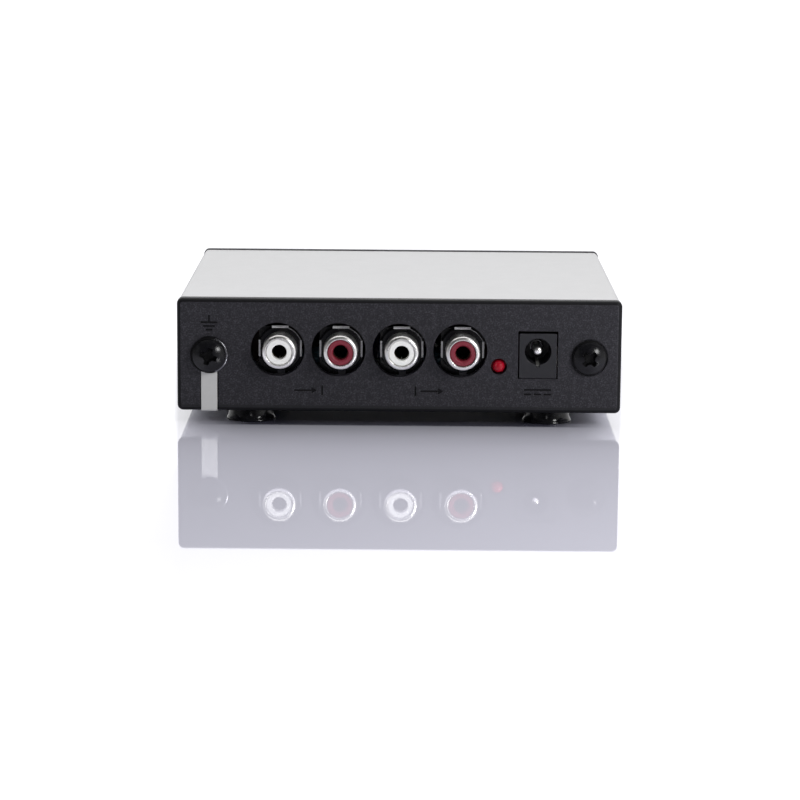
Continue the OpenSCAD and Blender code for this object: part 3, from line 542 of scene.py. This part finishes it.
FINISHES = {
    "beaded_aluminium": beaded_aluminium(),
    "textured_plastic": textured_plastic(),
    # painted shade: a darker colour for the panel's edge rounding
    "panel_edge_painted_shade": smooth_moulding("panel_edge_painted_shade", 0.0040, 0.0075),
    # painted shade: a darker colour for the floors of the sunk signs
    "sign_floor_painted_shade": smooth_moulding("sign_floor_painted_shade", 0.0040, 0.0070),
    "black_steel": black_steel(),
    "recess_shade": recess_shade(),
    "washer_rim_highlight": grained("washer_rim_highlight", (0.10, 0.10, 0.11), (0.17, 0.17, 0.18), 0.26, 0.4, 0.004,
                          Metallic=1.0),
    "tinned_strap": tinned_strap(),
    "foot_rubber": foot_rubber(),
    "socket_plastic": socket_plastic(),
    "painted_collar_highlight": painted_collar_highlight(),
    "painted_chamfer_highlight": grained("painted_chamfer_highlight", (0.30, 0.30, 0.31), (0.45, 0.45, 0.46), 0.34, 0.5, 0.006),
    "barrel_lug_painted_shade": barrel_lug_painted_shade(),
    "plated_barrel": nickel("plated_barrel", 0.26, 0.34, 0.85),
    "insulator_white": insulator("insulator_white", (0.74, 0.74, 0.71), (0.82, 0.82, 0.80)),
    "insulator_red": insulator("insulator_red", (0.150, 0.008, 0.019), (0.185, 0.012, 0.027)),
    "contact_metal": socket_contact(),
    "inlet_plastic": inlet_plastic(),
    "plated_pin": nickel("plated_pin", 0.28, 0.38),
    # painted shade: the inlet's spring is coloured far darker than bright steel
    "leaf_painted_shade": grained("leaf_painted_shade", (0.075, 0.075, 0.072), (0.110, 0.110, 0.105), 0.5, 0.4),
    "red_lens": red_lens(),
    "board_laminate": board_laminate(),
    "chip_epoxy": grained("chip_epoxy", (0.018, 0.018, 0.019), (0.035, 0.035, 0.036), 0.6),
    "tinned_wire": grained("tinned_wire", (0.55, 0.55, 0.54), (0.70, 0.70, 0.70), 0.35, 0.3,
                           0.004, Metallic=1.0),
    "film_box": grained("film_box", (0.030, 0.006, 0.006), (0.046, 0.010, 0.009), 0.35, 0.8),
    "resistor_lacquer": grained("resistor_lacquer", (0.07, 0.15, 0.21), (0.10, 0.20, 0.27), 0.4,
                                0.7, 0.02),
    "can_wrap": grained("can_wrap", (0.012, 0.016, 0.055), (0.022, 0.028, 0.080), 0.25, 1.5),
    "bright_steel": grained("bright_steel", (0.48, 0.49, 0.50), (0.62, 0.62, 0.63), 0.32, 0.5,
                            0.006, Metallic=1.0),
    "ferrite": grained("ferrite", (0.035, 0.035, 0.038), (0.060, 0.060, 0.063), 0.55, 0.3, 0.02),
    "copper_wire": grained("copper_wire", (0.42, 0.17, 0.06), (0.56, 0.25, 0.09), 0.3, 0.4, 0.01,
                           Metallic=1.0),
}


PANEL_FINISHES = [FINISHES[key] for key in ("textured_plastic", "panel_edge_painted_shade", "sign_floor_painted_shade")]


# ---------------------------------------------------------------- case

def sleeve():
    """The extruded tube: rails for the board, and a C-shaped channel for the screws each side."""
    tube = block(-SLEEVE_HALF_W, SLEEVE_HALF_W, REAR_IN, FRONT_IN, SLEEVE_LOW, SLEEVE_HIGH)
    bevel(tube, along(tube, 1), SLEEVE_R, 8)
    wall = SLEEVE_HALF_W - SLEEVE_T
    hollow = block(-wall, wall, REAR_IN - 1, FRONT_IN + 1, SLEEVE_LOW + SLEEVE_T,
                   SLEEVE_HIGH - SLEEVE_T)
    bevel(hollow, along(hollow, 1), 0.3, 3)
    tube = cut(tube, hollow)
    added, bores = [], []
    for side in (-1, 1):
        for low in (BOARD_LOW - 1.1, BOARD_TOP + 0.1):
            xs = sorted((side * (wall - 2.0), side * (wall + 0.5)))
            added.append(block(*xs, REAR_IN, FRONT_IN, low, low + 1.0))
        added.append(rod(CHANNEL_R, REAR_IN, FRONT_IN, side * SCREW_X, MID_Z, 48))
        xs = sorted((side * SCREW_X, side * (wall + 0.5)))
        added.append(block(*xs, REAR_IN, FRONT_IN, MID_Z - 0.8, MID_Z + 0.8))
        bores.append(rod(2.0, REAR_IN - 1, FRONT_IN + 1, side * SCREW_X, MID_Z, 48))
        xs = sorted((side * (SCREW_X - 5.0), side * SCREW_X))
        bores.append(block(*xs, REAR_IN - 1, FRONT_IN + 1, MID_Z - 0.7, MID_Z + 0.7))
        for y in FOOT_YS.values():
            bores.append(upright(rod(2.1, 0, 8, steps=32), side * FOOT_X, y))
    tube = cut(joined(tube, *added), *bores)
    piece("sleeve_tube", tube, FINISHES["beaded_aluminium"], "sleeve", edge=0.12)


def end_plate(outer, inner):
    """A panel's plate: round corners, then the rounding along its outer edges."""
    plate = block(-HALF_W, HALF_W, min(outer, inner), max(outer, inner), PANEL_LOW, PANEL_HIGH)
    bevel(plate, along(plate, 1), PANEL_CORNER_R, 8)
    bevel(plate, rim_at(plate, 1, outer), PANEL_EDGE_R, 6)
    return plate


def on_edges(bm, outer):
    """Marks the rounding along a panel's outer edges, smoother than its face and darker: painted
    shade.
    """
    half_h, mid = (PANEL_HIGH - PANEL_LOW) / 2, (PANEL_HIGH + PANEL_LOW) / 2
    return marked(bm, 1, lambda c, n: abs(n.y) < 0.97 and abs(c.y - outer) < PANEL_EDGE_R
                  and (abs(c.x) > HALF_W - PANEL_EDGE_R or abs(c.z - mid) > half_h - PANEL_EDGE_R))


def rims(y0, y1):
    """The two rims that locate a panel inside the sleeve."""
    half, thick, play = SCREW_X - CHANNEL_R - 2.0, 1.4, 0.1
    low, high = SLEEVE_LOW + SLEEVE_T + play, SLEEVE_HIGH - SLEEVE_T - play
    return [block(-half, half, y0, y1, low, low + thick),
            block(-half, half, y0, y1, high - thick, high)]


def sunk(x, z, w, h):
    """One straight line of a sunk sign."""
    return block(x - w / 2, x + w / 2, REAR_Y - 1, REAR_Y + SIGN_DEEP, z - h / 2, z + h / 2)


def sunk_arrow(x, z, length):
    """A sunk arrow that points to +X, its middle at x."""
    head_l, head_w = 1.4, 1.68
    head = bmesh.new()
    tip = x + length / 2
    bmesh.ops.create_circle(head, cap_ends=True, radius=1, segments=3)
    turned(head, Matrix.Translation((0, 0, z)) @ Matrix.Rotation(pi / 2, 4, "X")
           @ Matrix.Rotation(-pi / 2, 4, "Z"))
    xs = [v.co.x for v in head.verts]
    zs = [v.co.z for v in head.verts]
    wide, tall = max(xs) - min(xs), max(zs) - min(zs)
    bmesh.ops.scale(head, vec=(head_l / wide, 1, head_w / tall), verts=head.verts,
                    space=Matrix.Translation((0, 0, -z)))
    bmesh.ops.translate(head, vec=(tip - max(v.co.x for v in head.verts), REAR_Y + SIGN_DEEP, 0),
                        verts=head.verts)
    grown = bmesh.ops.extrude_face_region(head, geom=list(head.faces))["geom"]
    bmesh.ops.translate(head, vec=(0, -1 - SIGN_DEEP, 0),
                        verts=[g for g in grown if isinstance(g, bmesh.types.BMVert)])
    bmesh.ops.recalc_face_normals(head, faces=head.faces)
    return [sunk(x - head_l / 2, z, length - head_l, SIGN_LINE), head]


def signs():
    """Plain signs: ground, an arrow into and out of a post, and direct current."""
    made = [sunk(-SCREW_X, 26.0, SIGN_LINE, 1.8)]
    made += [sunk(-SCREW_X, 25.1 - 0.9 * i, 4.05 - 1.2 * i, SIGN_LINE) for i in range(3)]
    arrow_z = 8.7
    for side, middle in ((-1, -21.925), (1, 7.375)):
        made += sunk_arrow(middle + 0.6 * side, arrow_z, 5.6)
        made.append(sunk(middle - 3.4 * side, arrow_z, SIGN_LINE, 2.4))
    made.append(sunk(INLET_X, 9.25, 6.6, SIGN_LINE))
    made += [sunk(INLET_X + 2.4 * i, 8.15, 1.8, SIGN_LINE) for i in (-1, 0, 1)]
    return made


def rear_panel():
    """The panel with its openings, screw seats, strap groove and signs."""
    tools = [rod(OPENING_R, REAR_Y - 1, REAR_IN + 1, x - OPENING_SHIFT, SOCKET_Z)
             for x in SOCKET_XS]
    tools.append(rod(1.95, REAR_Y - 1, REAR_IN + 1, LIGHT_X, LIGHT_Z, 64))
    tools.append(block(INLET_X - 4.8, INLET_X + 4.8, REAR_Y - 1, REAR_IN + 1, 11.95, 23.55))
    for x in (-SCREW_X, SCREW_X):
        tools.append(rod(SHANK_HOLE_R, REAR_Y - 1, REAR_IN + 1, x, MID_Z, 48))
        tools.append(rod(4.5, REAR_Y - 1, REAR_Y + SEAT_DEEP, x, MID_Z))
    groove = (-SCREW_X - 2.1, -SCREW_X + 2.3)
    tools.append(block(*groove, REAR_Y - 1, REAR_Y + SEAT_DEEP, PANEL_LOW - 1, MID_Z))
    tools.append(block(*groove, REAR_Y - 1, REAR_IN + 1, PANEL_LOW - 1, SLEEVE_LOW))
    tools.append(block(*groove, REAR_Y - 1, REAR_Y + 0.7, PANEL_LOW - 1, SLEEVE_LOW + 0.2))
    plate = joined(end_plate(REAR_Y, REAR_IN), *rims(REAR_IN - 0.5, REAR_IN + 3.0))
    plate = on_edges(cut(cut(plate, *tools), *signs()), REAR_Y)
    # painted shade: the floors of the sunk signs get the darker finish
    marked(plate, 2, lambda c, n: -n.y > 0.9 and abs(c.y - REAR_Y - SIGN_DEEP) < 0.05)
    piece("rear_moulding", plate, PANEL_FINISHES, "rear_panel", edge=0.08)


def front_panel():
    """The plain panel, held by its rims and two pegs in the sleeve's channels."""
    pegs = [rod(SHANK_R, FRONT_IN - 8, FRONT_IN + 0.5, x, MID_Z, 48) for x in (-SCREW_X, SCREW_X)]
    plate = joined(end_plate(FRONT_Y, FRONT_IN), *rims(FRONT_IN - 3.0, FRONT_IN + 0.5), *pegs)
    piece("front_moulding", on_edges(plate, FRONT_Y), PANEL_FINISHES, "front_panel", edge=0.08)


# ---------------------------------------------------------------- screws, strap and feet

def cross_recess(x, y, turn):
    """The tool that cuts a cross recess: four arms about a round middle, all narrower below."""
    arms = []
    for quarter in (0, 90):
        arm = block(-2.75, 2.75, -0.6, 1.6, -0.78, 0.78)
        deep = [v for v in arm.verts if v.co.y > 0]
        bmesh.ops.scale(arm, vec=(0.5, 1, 0.6), verts=deep)
        bevel(arm, [e for e in arm.edges if abs((e.verts[0].co - e.verts[1].co).y) > 1], 0.22)
        arms.append(turned(arm, Matrix.Rotation(radians(quarter), 4, "Y")))
    core = lathe([(0, -0.6), (1.5, -0.6), (1.0, 1.6), (0, 1.85)], steps=24)
    return turned(joined(arms[0], arms[1], core),
                  Matrix.Translation((x, y, MID_Z)) @ Matrix.Rotation(radians(turn), 4, "Y"))


def screw(name, x, seat, turn, body, *nodes):
    """A domed screw with a cross recess; seat is where the underside of its head lies."""
    top, steps = seat - HEAD_H, 12
    ball = (HEAD_R ** 2 + DOME_H ** 2) / (2 * DOME_H)

    def dome_y(reach):
        return top + ball - (ball ** 2 - min(reach, HEAD_R) ** 2) ** 0.5

    dome = [(0, top)] + [(HEAD_R * i / steps, dome_y(HEAD_R * i / steps))
                         for i in range(1, steps + 1)]
    profile = dome + [(HEAD_R, seat), (SHANK_R, seat), (SHANK_R, seat + SHANK_L - 0.5),
                      (SHANK_R - 0.5, seat + SHANK_L), (0, seat + SHANK_L)]
    solid = cut(lathe(profile, x, MID_Z), cross_recess(x, top, turn))

    def sunk_below_dome(c, n):
        reach = ((c.x - x) ** 2 + (c.z - MID_Z) ** 2) ** 0.5
        return reach < 2.6 and dome_y(reach) + 0.1 < c.y < seat
    # painted shade: the faces sunk below the dome get the darker recess finish
    piece(name, marked(solid, 1, sunk_below_dome),
          [FINISHES["black_steel"], FINISHES["recess_shade"]], *nodes, body=body, edge=0.10,
          segments=3, sharp=32)


def washer(name, x, back, rim, shifted_and_lit, body, *nodes):
    """A plain washer, its front chamfer in painted shade; the chosen one sits a little to the
    right, with a painted highlight on the chamfer's right part.
    """
    face, hole = back - WASHER_T, WASHER_HOLE_R
    profile = [(hole, face), (rim - 0.36, face), (rim, face + 0.2), (rim, back), (hole, back),
               (hole, face)]
    ring = lathe(profile, x + (0.12 if shifted_and_lit else 0), MID_Z)
    # painted shade: the front chamfer gets the dark recess finish
    marked(ring, 2, lambda c, n: 0.3 < -n.y < 0.95)
    if shifted_and_lit:
        # painted highlight: the right part of the chamfer is coloured as pale metal
        marked(ring, 1, lambda c, n: 0.3 < -n.y < 0.95 and c.x > x + 1.5)
    piece(name, ring, [FINISHES[key] for key in ("black_steel", "washer_rim_highlight", "recess_shade")],
          *nodes, body=body, edge=0.04)


def ground_strap():
    """A flat strip: an eye in the screw's seat, a run down the panel, a bend and a foot."""
    low = SLEEVE_LOW - STRAP_T
    bend = STRAP_T + 0.2
    strip = bmesh.new()
    bmesh.ops.create_grid(strip, x_segments=1, y_segments=1, size=0.5)
    bmesh.ops.scale(strip, vec=(2 * STRAP_HALF_W, STRAP_T, 1), verts=strip.verts)
    bmesh.ops.translate(strip, vec=(-SCREW_X, REAR_Y + STRAP_T / 2, MID_Z), verts=strip.verts)

    start = list(strip.faces)
    grown = bmesh.ops.extrude_face_region(strip, geom=start)["geom"]
    foot_end = [g for g in grown if isinstance(g, bmesh.types.BMFace)]
    bmesh.ops.translate(strip, vec=(0, 0, low + bend - MID_Z),
                        verts=list({v for f in foot_end for v in f.verts}))
    swept = bmesh.ops.spin(strip, geom=foot_end, cent=(0, REAR_Y + bend, low + bend),
                           axis=(1, 0, 0), dvec=(0, 0, 0), angle=pi / 2, steps=12,
                           use_merge=False)["geom_last"]
    foot_end = [g for g in swept if isinstance(g, bmesh.types.BMFace)]
    grown = bmesh.ops.extrude_face_region(strip, geom=foot_end)["geom"]
    last = [g for g in grown if isinstance(g, bmesh.types.BMFace)]
    bmesh.ops.translate(strip, vec=(0, REAR_IN + 6.0 - (REAR_Y + bend), 0),
                        verts=list({v for f in last for v in f.verts}))
    bmesh.ops.remove_doubles(strip, verts=strip.verts, dist=1e-4)
    inside = [f for f in strip.faces if all(len(e.link_faces) > 2 for e in f.edges)]
    bmesh.ops.delete(strip, geom=inside, context="FACES_ONLY")
    bmesh.ops.recalc_face_normals(strip, faces=strip.faces)
    eye = rod(4.05, REAR_Y, REAR_Y + STRAP_T, -SCREW_X, MID_Z)
    hole = rod(SHANK_HOLE_R, REAR_Y - 1, REAR_Y + 1, -SCREW_X, MID_Z, 48)
    piece("ground_strip", cut(joined(strip, eye), hole), FINISHES["tinned_strap"], "ground_strap",
          edge=0.06)


def foot(name, x, y, node):
    """A rubber foot with its stem through the sleeve's floor and the barb that holds it."""
    top, barb = SLEEVE_LOW, SLEEVE_LOW + SLEEVE_T + 0.1
    profile = [(0, 0), (5.6, 0), (5.85, 0.08), (6.0, 0.3), (5.80, 0.62), (5.62, 1.05),
               (5.48, 1.6), (5.37, 2.3), (5.28, 3.0), (5.2, top), (2.0, top), (2.0, barb),
               (2.5, barb), (1.8, barb + 1.5), (0, barb + 1.5)]
    piece(name, upright(lathe(profile, steps=80), x, y), FINISHES["foot_rubber"], node, edge=0.1)


# ---------------------------------------------------------------- sockets

def socket(name, x, insulator_finish, sink):
    """A phono socket: moulded block with its collar, plated barrel with its lug, and insulator."""
    face, step, back = REAR_Y + 2.0, REAR_Y + 3.9, REAR_Y + 13.4
    core_end = REAR_Y + 8.0
    lug_x = x + 0.2

    # The collar: a chamfered ring, with a raised tab at the top, the left and the right.
    into_body = step + 0.3
    ring = lathe([(0, face), (5.16, face), (5.36, face + 0.15), (5.36, into_body),
                  (0, into_body)], x, SOCKET_Z)
    tabs = []
    raised, thick = 0.30, 0.62
    for quarter, reach, width in ((0, 5.52, 0.58), (1, 5.2, 0.44), (3, 5.2, 0.44)):
        tab = block(-2.0, 2.0, face - raised, into_body, reach - thick, reach)
        bevel(tab, [e for e in tab.edges
                    if all(v.co.z > reach - 0.1 and v.co.y < face for v in e.verts)], width, 1)
        for v in tab.verts:
            if v.co.z > reach - 0.1 and abs(v.co.y - face + raised - width) < 1e-3:
                v.co.y = face - 0.04
        tabs.append(turned(tab, Matrix.Translation((x, 0, SOCKET_Z))
                           @ Matrix.Rotation(radians(90 * quarter), 4, "Y")))
    collar = joined(ring, *tabs)
    body = block(x - 5.2, x + 5.2, step, back, BOARD_TOP, SOCKET_Z + 5.0)
    tools = [rod(4.05, REAR_Y, step + 0.01, x, SOCKET_Z),
             rod(3.2, step - 1, core_end + 0.1, x, SOCKET_Z),
             rod(0.65, core_end - 1, back + 1, x, SOCKET_Z, 32),
             block(lug_x - 1.0, lug_x + 1.0, step - 0.55, step, SOCKET_Z - 11, SOCKET_Z)]

    # painted highlight: the tabs' bevels get the pale collar finish
    def on_tab(c, n):
        return c.y < face - 0.02 and 0.5 < -n.y < 0.97

    # painted highlight: the chamfer at the collar's upper right gets a paler finish
    def on_lit_chamfer(c, n):
        return (c.y < face + 0.13 and 0.6 < -n.y < 0.95
                and c.z > SOCKET_Z + 1.8 and c.x > x + 1.8)
    housing = marked(cut(joined(collar, body), *tools), 1, on_tab)
    marked(housing, 2, on_lit_chamfer)
    piece(name + "_housing", housing,
          [FINISHES[key] for key in ("socket_plastic", "painted_collar_highlight", "painted_chamfer_highlight")],
          name + "_block", edge=0.06)

    # The barrel: its mouth is rounded outwards, and its lug goes down through the board.
    front, bore, end = REAR_Y - 4.5, 3.15, step - 0.05
    barrel = [(bore, front + 0.3), (3.17, front + 0.14), (3.23, front + 0.04), (3.33, front),
              (3.46, front + 0.02), (3.62, front + 0.08), (3.78, front + 0.17),
              (3.92, front + 0.28), (4.03, front + 0.41), (4.11, front + 0.57),
              (BARREL_R, front + 0.8), (BARREL_R, face), (3.95, face), (3.95, end),
              (bore, end), (bore, front + 0.3)]
    lug = block(lug_x - 0.9, lug_x + 0.9, end - 0.4, end, LEGS_LOW, SOCKET_Z - 3.5)
    # painted shade: the lug's faces get the dark lug finish
    shell = marked(joined(lathe(barrel, x, SOCKET_Z), lug), 1,
                   lambda c, n: c.z < SOCKET_Z - 4.0 and c.y > face)
    piece(name + "_shell", shell, [FINISHES["plated_barrel"], FINISHES["barrel_lug_painted_shade"]],
          name + "_barrel", edge=0.05, sharp=35)

    # The insulator: its mouth slopes inwards by sink, and is narrower than the contact's seat.
    lip, mouth, seat, outer = front + 0.3, 1.8, 2.05, 3.1
    core = [(mouth, lip + sink), (mouth + 0.9 * sink, lip), (2.88, lip), (3.02, lip + 0.05),
            (outer, lip + 0.2), (outer, core_end), (0.6, core_end), (0.6, core_end - 0.6),
            (seat, core_end - 0.6), (seat, lip + 2.3), (mouth, lip + 2.3), (mouth, lip + sink)]
    piece(name + "_core", lathe(core, x, SOCKET_Z), insulator_finish, name + "_insulator",
          edge=0.05, sharp=35)


# ---------------------------------------------------------------- inlet and light

def inlet_leaf():
    """The spring that touches a plug's barrel: a leaf bowed up out of its slot, and its leg."""
    low, start, end = INLET_Z - BORE_R - 0.42, INLET_FACE + 0.5, INLET_FACE + 8.0
    half, thick, bow = 0.4, 0.3, 0.85
    leaf = bmesh.new()
    bmesh.ops.create_grid(leaf, x_segments=1, y_segments=14, size=0.5)
    bmesh.ops.scale(leaf, vec=(2 * half, end - start, 1), verts=leaf.verts)
    bmesh.ops.translate(leaf, vec=(INLET_X, (start + end) / 2, low), verts=leaf.verts)
    grown = bmesh.ops.extrude_face_region(leaf, geom=list(leaf.faces))["geom"]
    bmesh.ops.translate(leaf, vec=(0, 0, thick),
                        verts=[g for g in grown if isinstance(g, bmesh.types.BMVert)])
    bmesh.ops.recalc_face_normals(leaf, faces=leaf.faces)
    for v in leaf.verts:
        v.co.z += bow * sin(pi / 2 * min((v.co.y - start) / (end - start), 1))
    leg = block(INLET_X - half, INLET_X + half, end - 1.0, end, LEGS_LOW, low + 0.9)
    # painted shade: the spring gets a dark finish for the shade in the bore
    piece("inlet_leaf", joined(leaf, leg), FINISHES["leaf_painted_shade"], "inlet_spring", edge=0.03)


def inlet():
    """The low-voltage inlet: a moulded body with a round bore, and its centre pin."""
    back, bore_end = INLET_FACE + INLET_L, INLET_FACE + BORE_DEEP
    body = block(INLET_X - 4.5, INLET_X + 4.5, INLET_FACE, back, BOARD_TOP, BOARD_TOP + 10.9)
    bevel(body, along(body, 1), 0.25, 3)
    slot_xs, slot_end = (INLET_X - 0.5, INLET_X + 0.5), INLET_FACE + 8.1
    slot_low = INLET_Z - BORE_R - 0.45
    tools = [rod(BORE_R, INLET_FACE - 1, bore_end, INLET_X, INLET_Z),
             rod(PIN_R + 0.1, bore_end - 1, back + 1, INLET_X, INLET_Z, 48),
             block(*slot_xs, INLET_FACE - 1, slot_end, slot_low, INLET_Z),
             block(*slot_xs, slot_end - 1.2, slot_end, BOARD_TOP - 1, INLET_Z)]
    piece("inlet_housing", cut(body, *tools), FINISHES["inlet_plastic"], "inlet_body", edge=0.08)

    tip = INLET_FACE + 1
    ball, corner = 1.5, 0.3
    round_tip = [(ball * sin(radians(a)), tip + ball - ball * cos(radians(a)))
                 for a in range(0, 33, 4)]
    low_y = round_tip[-1][1] + 0.12
    round_tip += [(PIN_R - corner + corner * sin(radians(a)), low_y + corner
                   - corner * cos(radians(a))) for a in range(40, 91, 10)]
    pin = round_tip + [(PIN_R, back + 0.6), (0, back + 0.6)]
    terminal = block(INLET_X - 1.1, INLET_X + 1.1, back + 0.1, back + 0.6, LEGS_LOW,
                     INLET_Z + PIN_R)
    piece("inlet_centre", joined(lathe(pin, INLET_X, INLET_Z, 64), terminal),
          FINISHES["plated_pin"], "inlet_pin", edge=0.04, sharp=40)
    collar_y, outer = bore_end - 0.9, 1.64
    collar = [(PIN_R, collar_y), (1.42, collar_y), (outer, collar_y + 0.14),
              (outer, collar_y + 0.8), (PIN_R, collar_y + 0.8), (PIN_R, collar_y)]
    ring = lathe(collar, INLET_X, INLET_Z, 64)
    # painted highlight: the upper-left chamfer of the pin's collar gets the pale collar finish
    marked(ring, 1, lambda c, n: 0.3 < -n.y < 0.95 and c.z > INLET_Z - 0.6 and c.x < INLET_X + 1.2)
    piece("inlet_centre_collar", ring, [FINISHES["foot_rubber"], FINISHES["painted_collar_highlight"]],
          edge=0.04, segments=2)
    inlet_leaf()


def power_light():
    """A round red lens with a flange, its dome just past the panel."""
    tip, radius, flange = REAR_Y - 0.6, 1.5, 1.9
    dome = [(radius * sin(radians(a)), tip + radius - radius * cos(radians(a)))
            for a in range(0, 91, 9)]
    lens = dome + [(radius, tip + 4.3), (flange, tip + 4.3), (flange, tip + 5.3),
                   (0, tip + 5.3)]
    piece("light_dome", lathe(lens, LIGHT_X, LIGHT_Z, 64), FINISHES["red_lens"], "light_lens",
          edge=0.05, sharp=40)


# ---------------------------------------------------------------- the whole object

sleeve()
rear_panel()
front_panel()
case_seat = REAR_Y + SEAT_DEEP
screw("case_screw_head", SCREW_X, case_seat - WASHER_T, 45, "case", "case_screw")
washer("case_screw_washer", SCREW_X, case_seat, 4.15, False, "case", "case_washer")
screw("ground_screw_head", -SCREW_X, REAR_Y - WASHER_T, 17, "terminal_screw", "ground_screw")
washer("ground_screw_washer", -SCREW_X, REAR_Y, 4.4, True, "terminal_washer", "ground_washer")
ground_strap()
for side, x in (("left", -FOOT_X), ("right", FOOT_X)):
    for end, y in FOOT_YS.items():
        node = "foot_" + end + "_" + side
        foot(node + "_pad", x, y, node)
for name, x in zip(("input_left", "input_right", "output_left", "output_right"), SOCKET_XS):
    tint, sink = ("insulator_white", 0.12) if name.endswith("left") else ("insulator_red", 0.35)
    socket(name, x, FINISHES[tint], sink)
inlet()
power_light()

for part in frame["record"]["subparts"]:
    node = frame["nodes"][part["node"]]
    node.data.materials.clear()
    node.data.materials.append(FINISHES[part["material_slot"]])


# ---------------------------------------------------------------- floor, light and camera

def studio_floor():
    """White gloss sheet, in metres: it mirrors more the flatter it is seen, and has a painted glow.

    The glow is painted light, seen by the camera and, in front of the piece, in reflections: it
    whitens the floor away from the piece and beside it, over the piece's shadow there. It leaves
    out the piece's own image: the ground in front of the rear panel, between two lines that come
    together towards the camera. Beneath the case the floor is coloured dark, a painted shadow, and
    mirrors less.
    """
    glow_near, glow_far, closing, mirror_power = 0.6, 0.4, 0.082, 2.75
    bm = bmesh.new()
    bmesh.ops.create_grid(bm, x_segments=1, y_segments=1, size=20)
    floor = as_object(bm, "floor")
    f = Finish("white_gloss_sheet", Roughness=0.6, Specular_IOR_Level=0.0,
               Emission_Strength=1.0)
    away = f.add("ShaderNodeVectorMath", {"operation": "LENGTH"}, {0: f.place}, "Value")
    aside = f.add("ShaderNodeMath", {"operation": "ABSOLUTE"}, {0: f.axis("X", f.place)})
    along_y = f.axis("Y", f.place)
    # painted shadow: the ground beneath the case is coloured dark and mirrors less
    under = (f.span(aside, 0.050, 0.036) * f.span(along_y, -0.0445, -0.0425)
             * f.span(along_y, 0.049, 0.046))
    f.set(Base_Color=f.mix(under, (0.775, 0.77, 0.88), (0.07, 0.07, 0.10)))

    soft_edge = f.span(along_y, -0.09, -0.30, 0.0580, 0.20)
    clear = (f.span(aside - along_y * closing, 0.0568, soft_edge)
             + f.span(along_y, 0.054, 0.080) + f.span(away, 0.17, 0.42))
    in_front = f.span(along_y, -0.045, -0.070)
    # painted light: the glow whitens the floor beside and away from the piece, over its shadow
    seen_near = (f.ray("Camera") + f.ray("Glossy") * in_front) * f.span(clear, 0, 1)
    seen_far = f.ray("Camera") * f.span(away, 0.5, 1.6)
    glow = seen_near * glow_near + seen_far * glow_far
    f.set(Emission_Color=f.mix(glow, (0.0, 0.0, 0.0), (1.0, 1.0, 1.0)))

    gloss = f.add("ShaderNodeBsdfAnisotropic", inputs={"Color": (1, 1, 1, 1), "Roughness": 0.02})
    facing = f.add("ShaderNodeLayerWeight", inputs={"Blend": 0.5}, output="Facing")
    mirror = (facing ** mirror_power * f.span(under, 0, 1, 1.0, 0.6)
              * f.span(away, 0.4, 1.6, 1.0, 0.2))
    both = f.add("ShaderNodeMixShader", inputs={0: mirror, 2: gloss})
    f.tree.links.new(f.shader.outputs[0], both.socket.node.inputs[1])
    f.tree.links.new(both.socket, f.out.inputs["Surface"])
    floor.data.materials.append(f.material)


def studio_sky():
    """A white room ahead of the camera; dim overhead, at the left and behind the camera."""
    world = bpy.data.worlds.new("white_room")
    bpy.context.scene.world = world
    world.use_nodes = True
    s = Shades(world.node_tree)
    way = s.add("ShaderNodeTexCoord", output="Generated")
    ahead, above = s.axis("Y", way), s.axis("Z", way)
    behind = s.span(ahead, 0.0, 0.35)
    wall = (s.span(above, 0.55, 0.15) * s.span(ahead, -0.95, -0.35, 0.06, 1.0)
            * s.span(s.axis("X", way), -0.2, 0.2, 0.24, 1.0))
    ceiling = s.span(above, 0.15, 0.55) * 0.08
    mirrored = behind + (1 - behind) * (wall + ceiling)
    lighting = s.span(ahead, -0.4, 0.4, 0.34, 0.62)
    gloss = s.ray("Glossy")
    seen = s.ray("Camera") + s.ray("Transmission")
    strength = seen + gloss * mirrored + (1 - s.span(seen + gloss, 0, 1)) * lighting
    back = s.add("ShaderNodeBackground", inputs={"Color": (1, 1, 1, 1), "Strength": strength})
    out = s.tree.nodes.new("ShaderNodeOutputWorld")
    s.tree.links.new(back.socket, out.inputs["Surface"])


def softbox(name, at, toward, width, height, watts):
    """A square-cornered lamp that the camera doesn't see, in metres."""
    data = bpy.data.lights.new(name, "AREA")
    data.shape, data.size, data.size_y, data.energy = "RECTANGLE", width, height, watts
    lamp = bpy.data.objects.new(name, data)
    bpy.context.scene.collection.objects.link(lamp)
    lamp.location = at
    lamp.rotation_euler = (Vector(toward) - Vector(at)).to_track_quat("-Z", "Y").to_euler()
    lamp.visible_camera = False


def camera():
    """The view of the rear panel from a little above, through a long lens."""
    place = Vector((2.11, -698.60, 129.69)) * MM
    yaw, pitch, roll = radians(0.16), radians(10.66), radians(0.46)
    ahead = Vector((-sin(yaw) * cos(pitch), cos(yaw) * cos(pitch), -sin(pitch)))
    level = Vector((cos(yaw), sin(yaw), 0))
    above = level.cross(ahead)
    right = cos(roll) * level + sin(roll) * above
    up = -sin(roll) * level + cos(roll) * above
    data = bpy.data.cameras.new("camera")
    data.lens, data.sensor_width, data.sensor_fit = 124.2, 36.0, "HORIZONTAL"
    data.clip_start, data.clip_end = 0.01, 100.0
    made = bpy.data.objects.new("camera", data)
    bpy.context.scene.collection.objects.link(made)
    turn = Matrix((right, up, -ahead)).transposed().to_4x4()
    made.matrix_world = Matrix.Translation(place) @ turn
    bpy.context.scene.camera = made


studio_floor()
studio_sky()
rear_panel_at = (0, -0.03, 0.02)
softbox("top_softbox", (0.0, 0.30, 0.68), (0, 0, 0.01), 1.4, 1.2, 5.7)
softbox("key_softbox", (0.298, -0.312, 0.221), rear_panel_at, 0.13, 0.13, 1.27)
softbox("left_softbox", (-0.70, -0.35, 0.30), rear_panel_at, 0.25, 0.4, 0.08)
softbox("front_fill", (0.0, -0.74, 0.16), rear_panel_at, 0.06, 0.06, 0.08)
camera()
bpy.context.scene.view_settings.view_transform = "Standard"
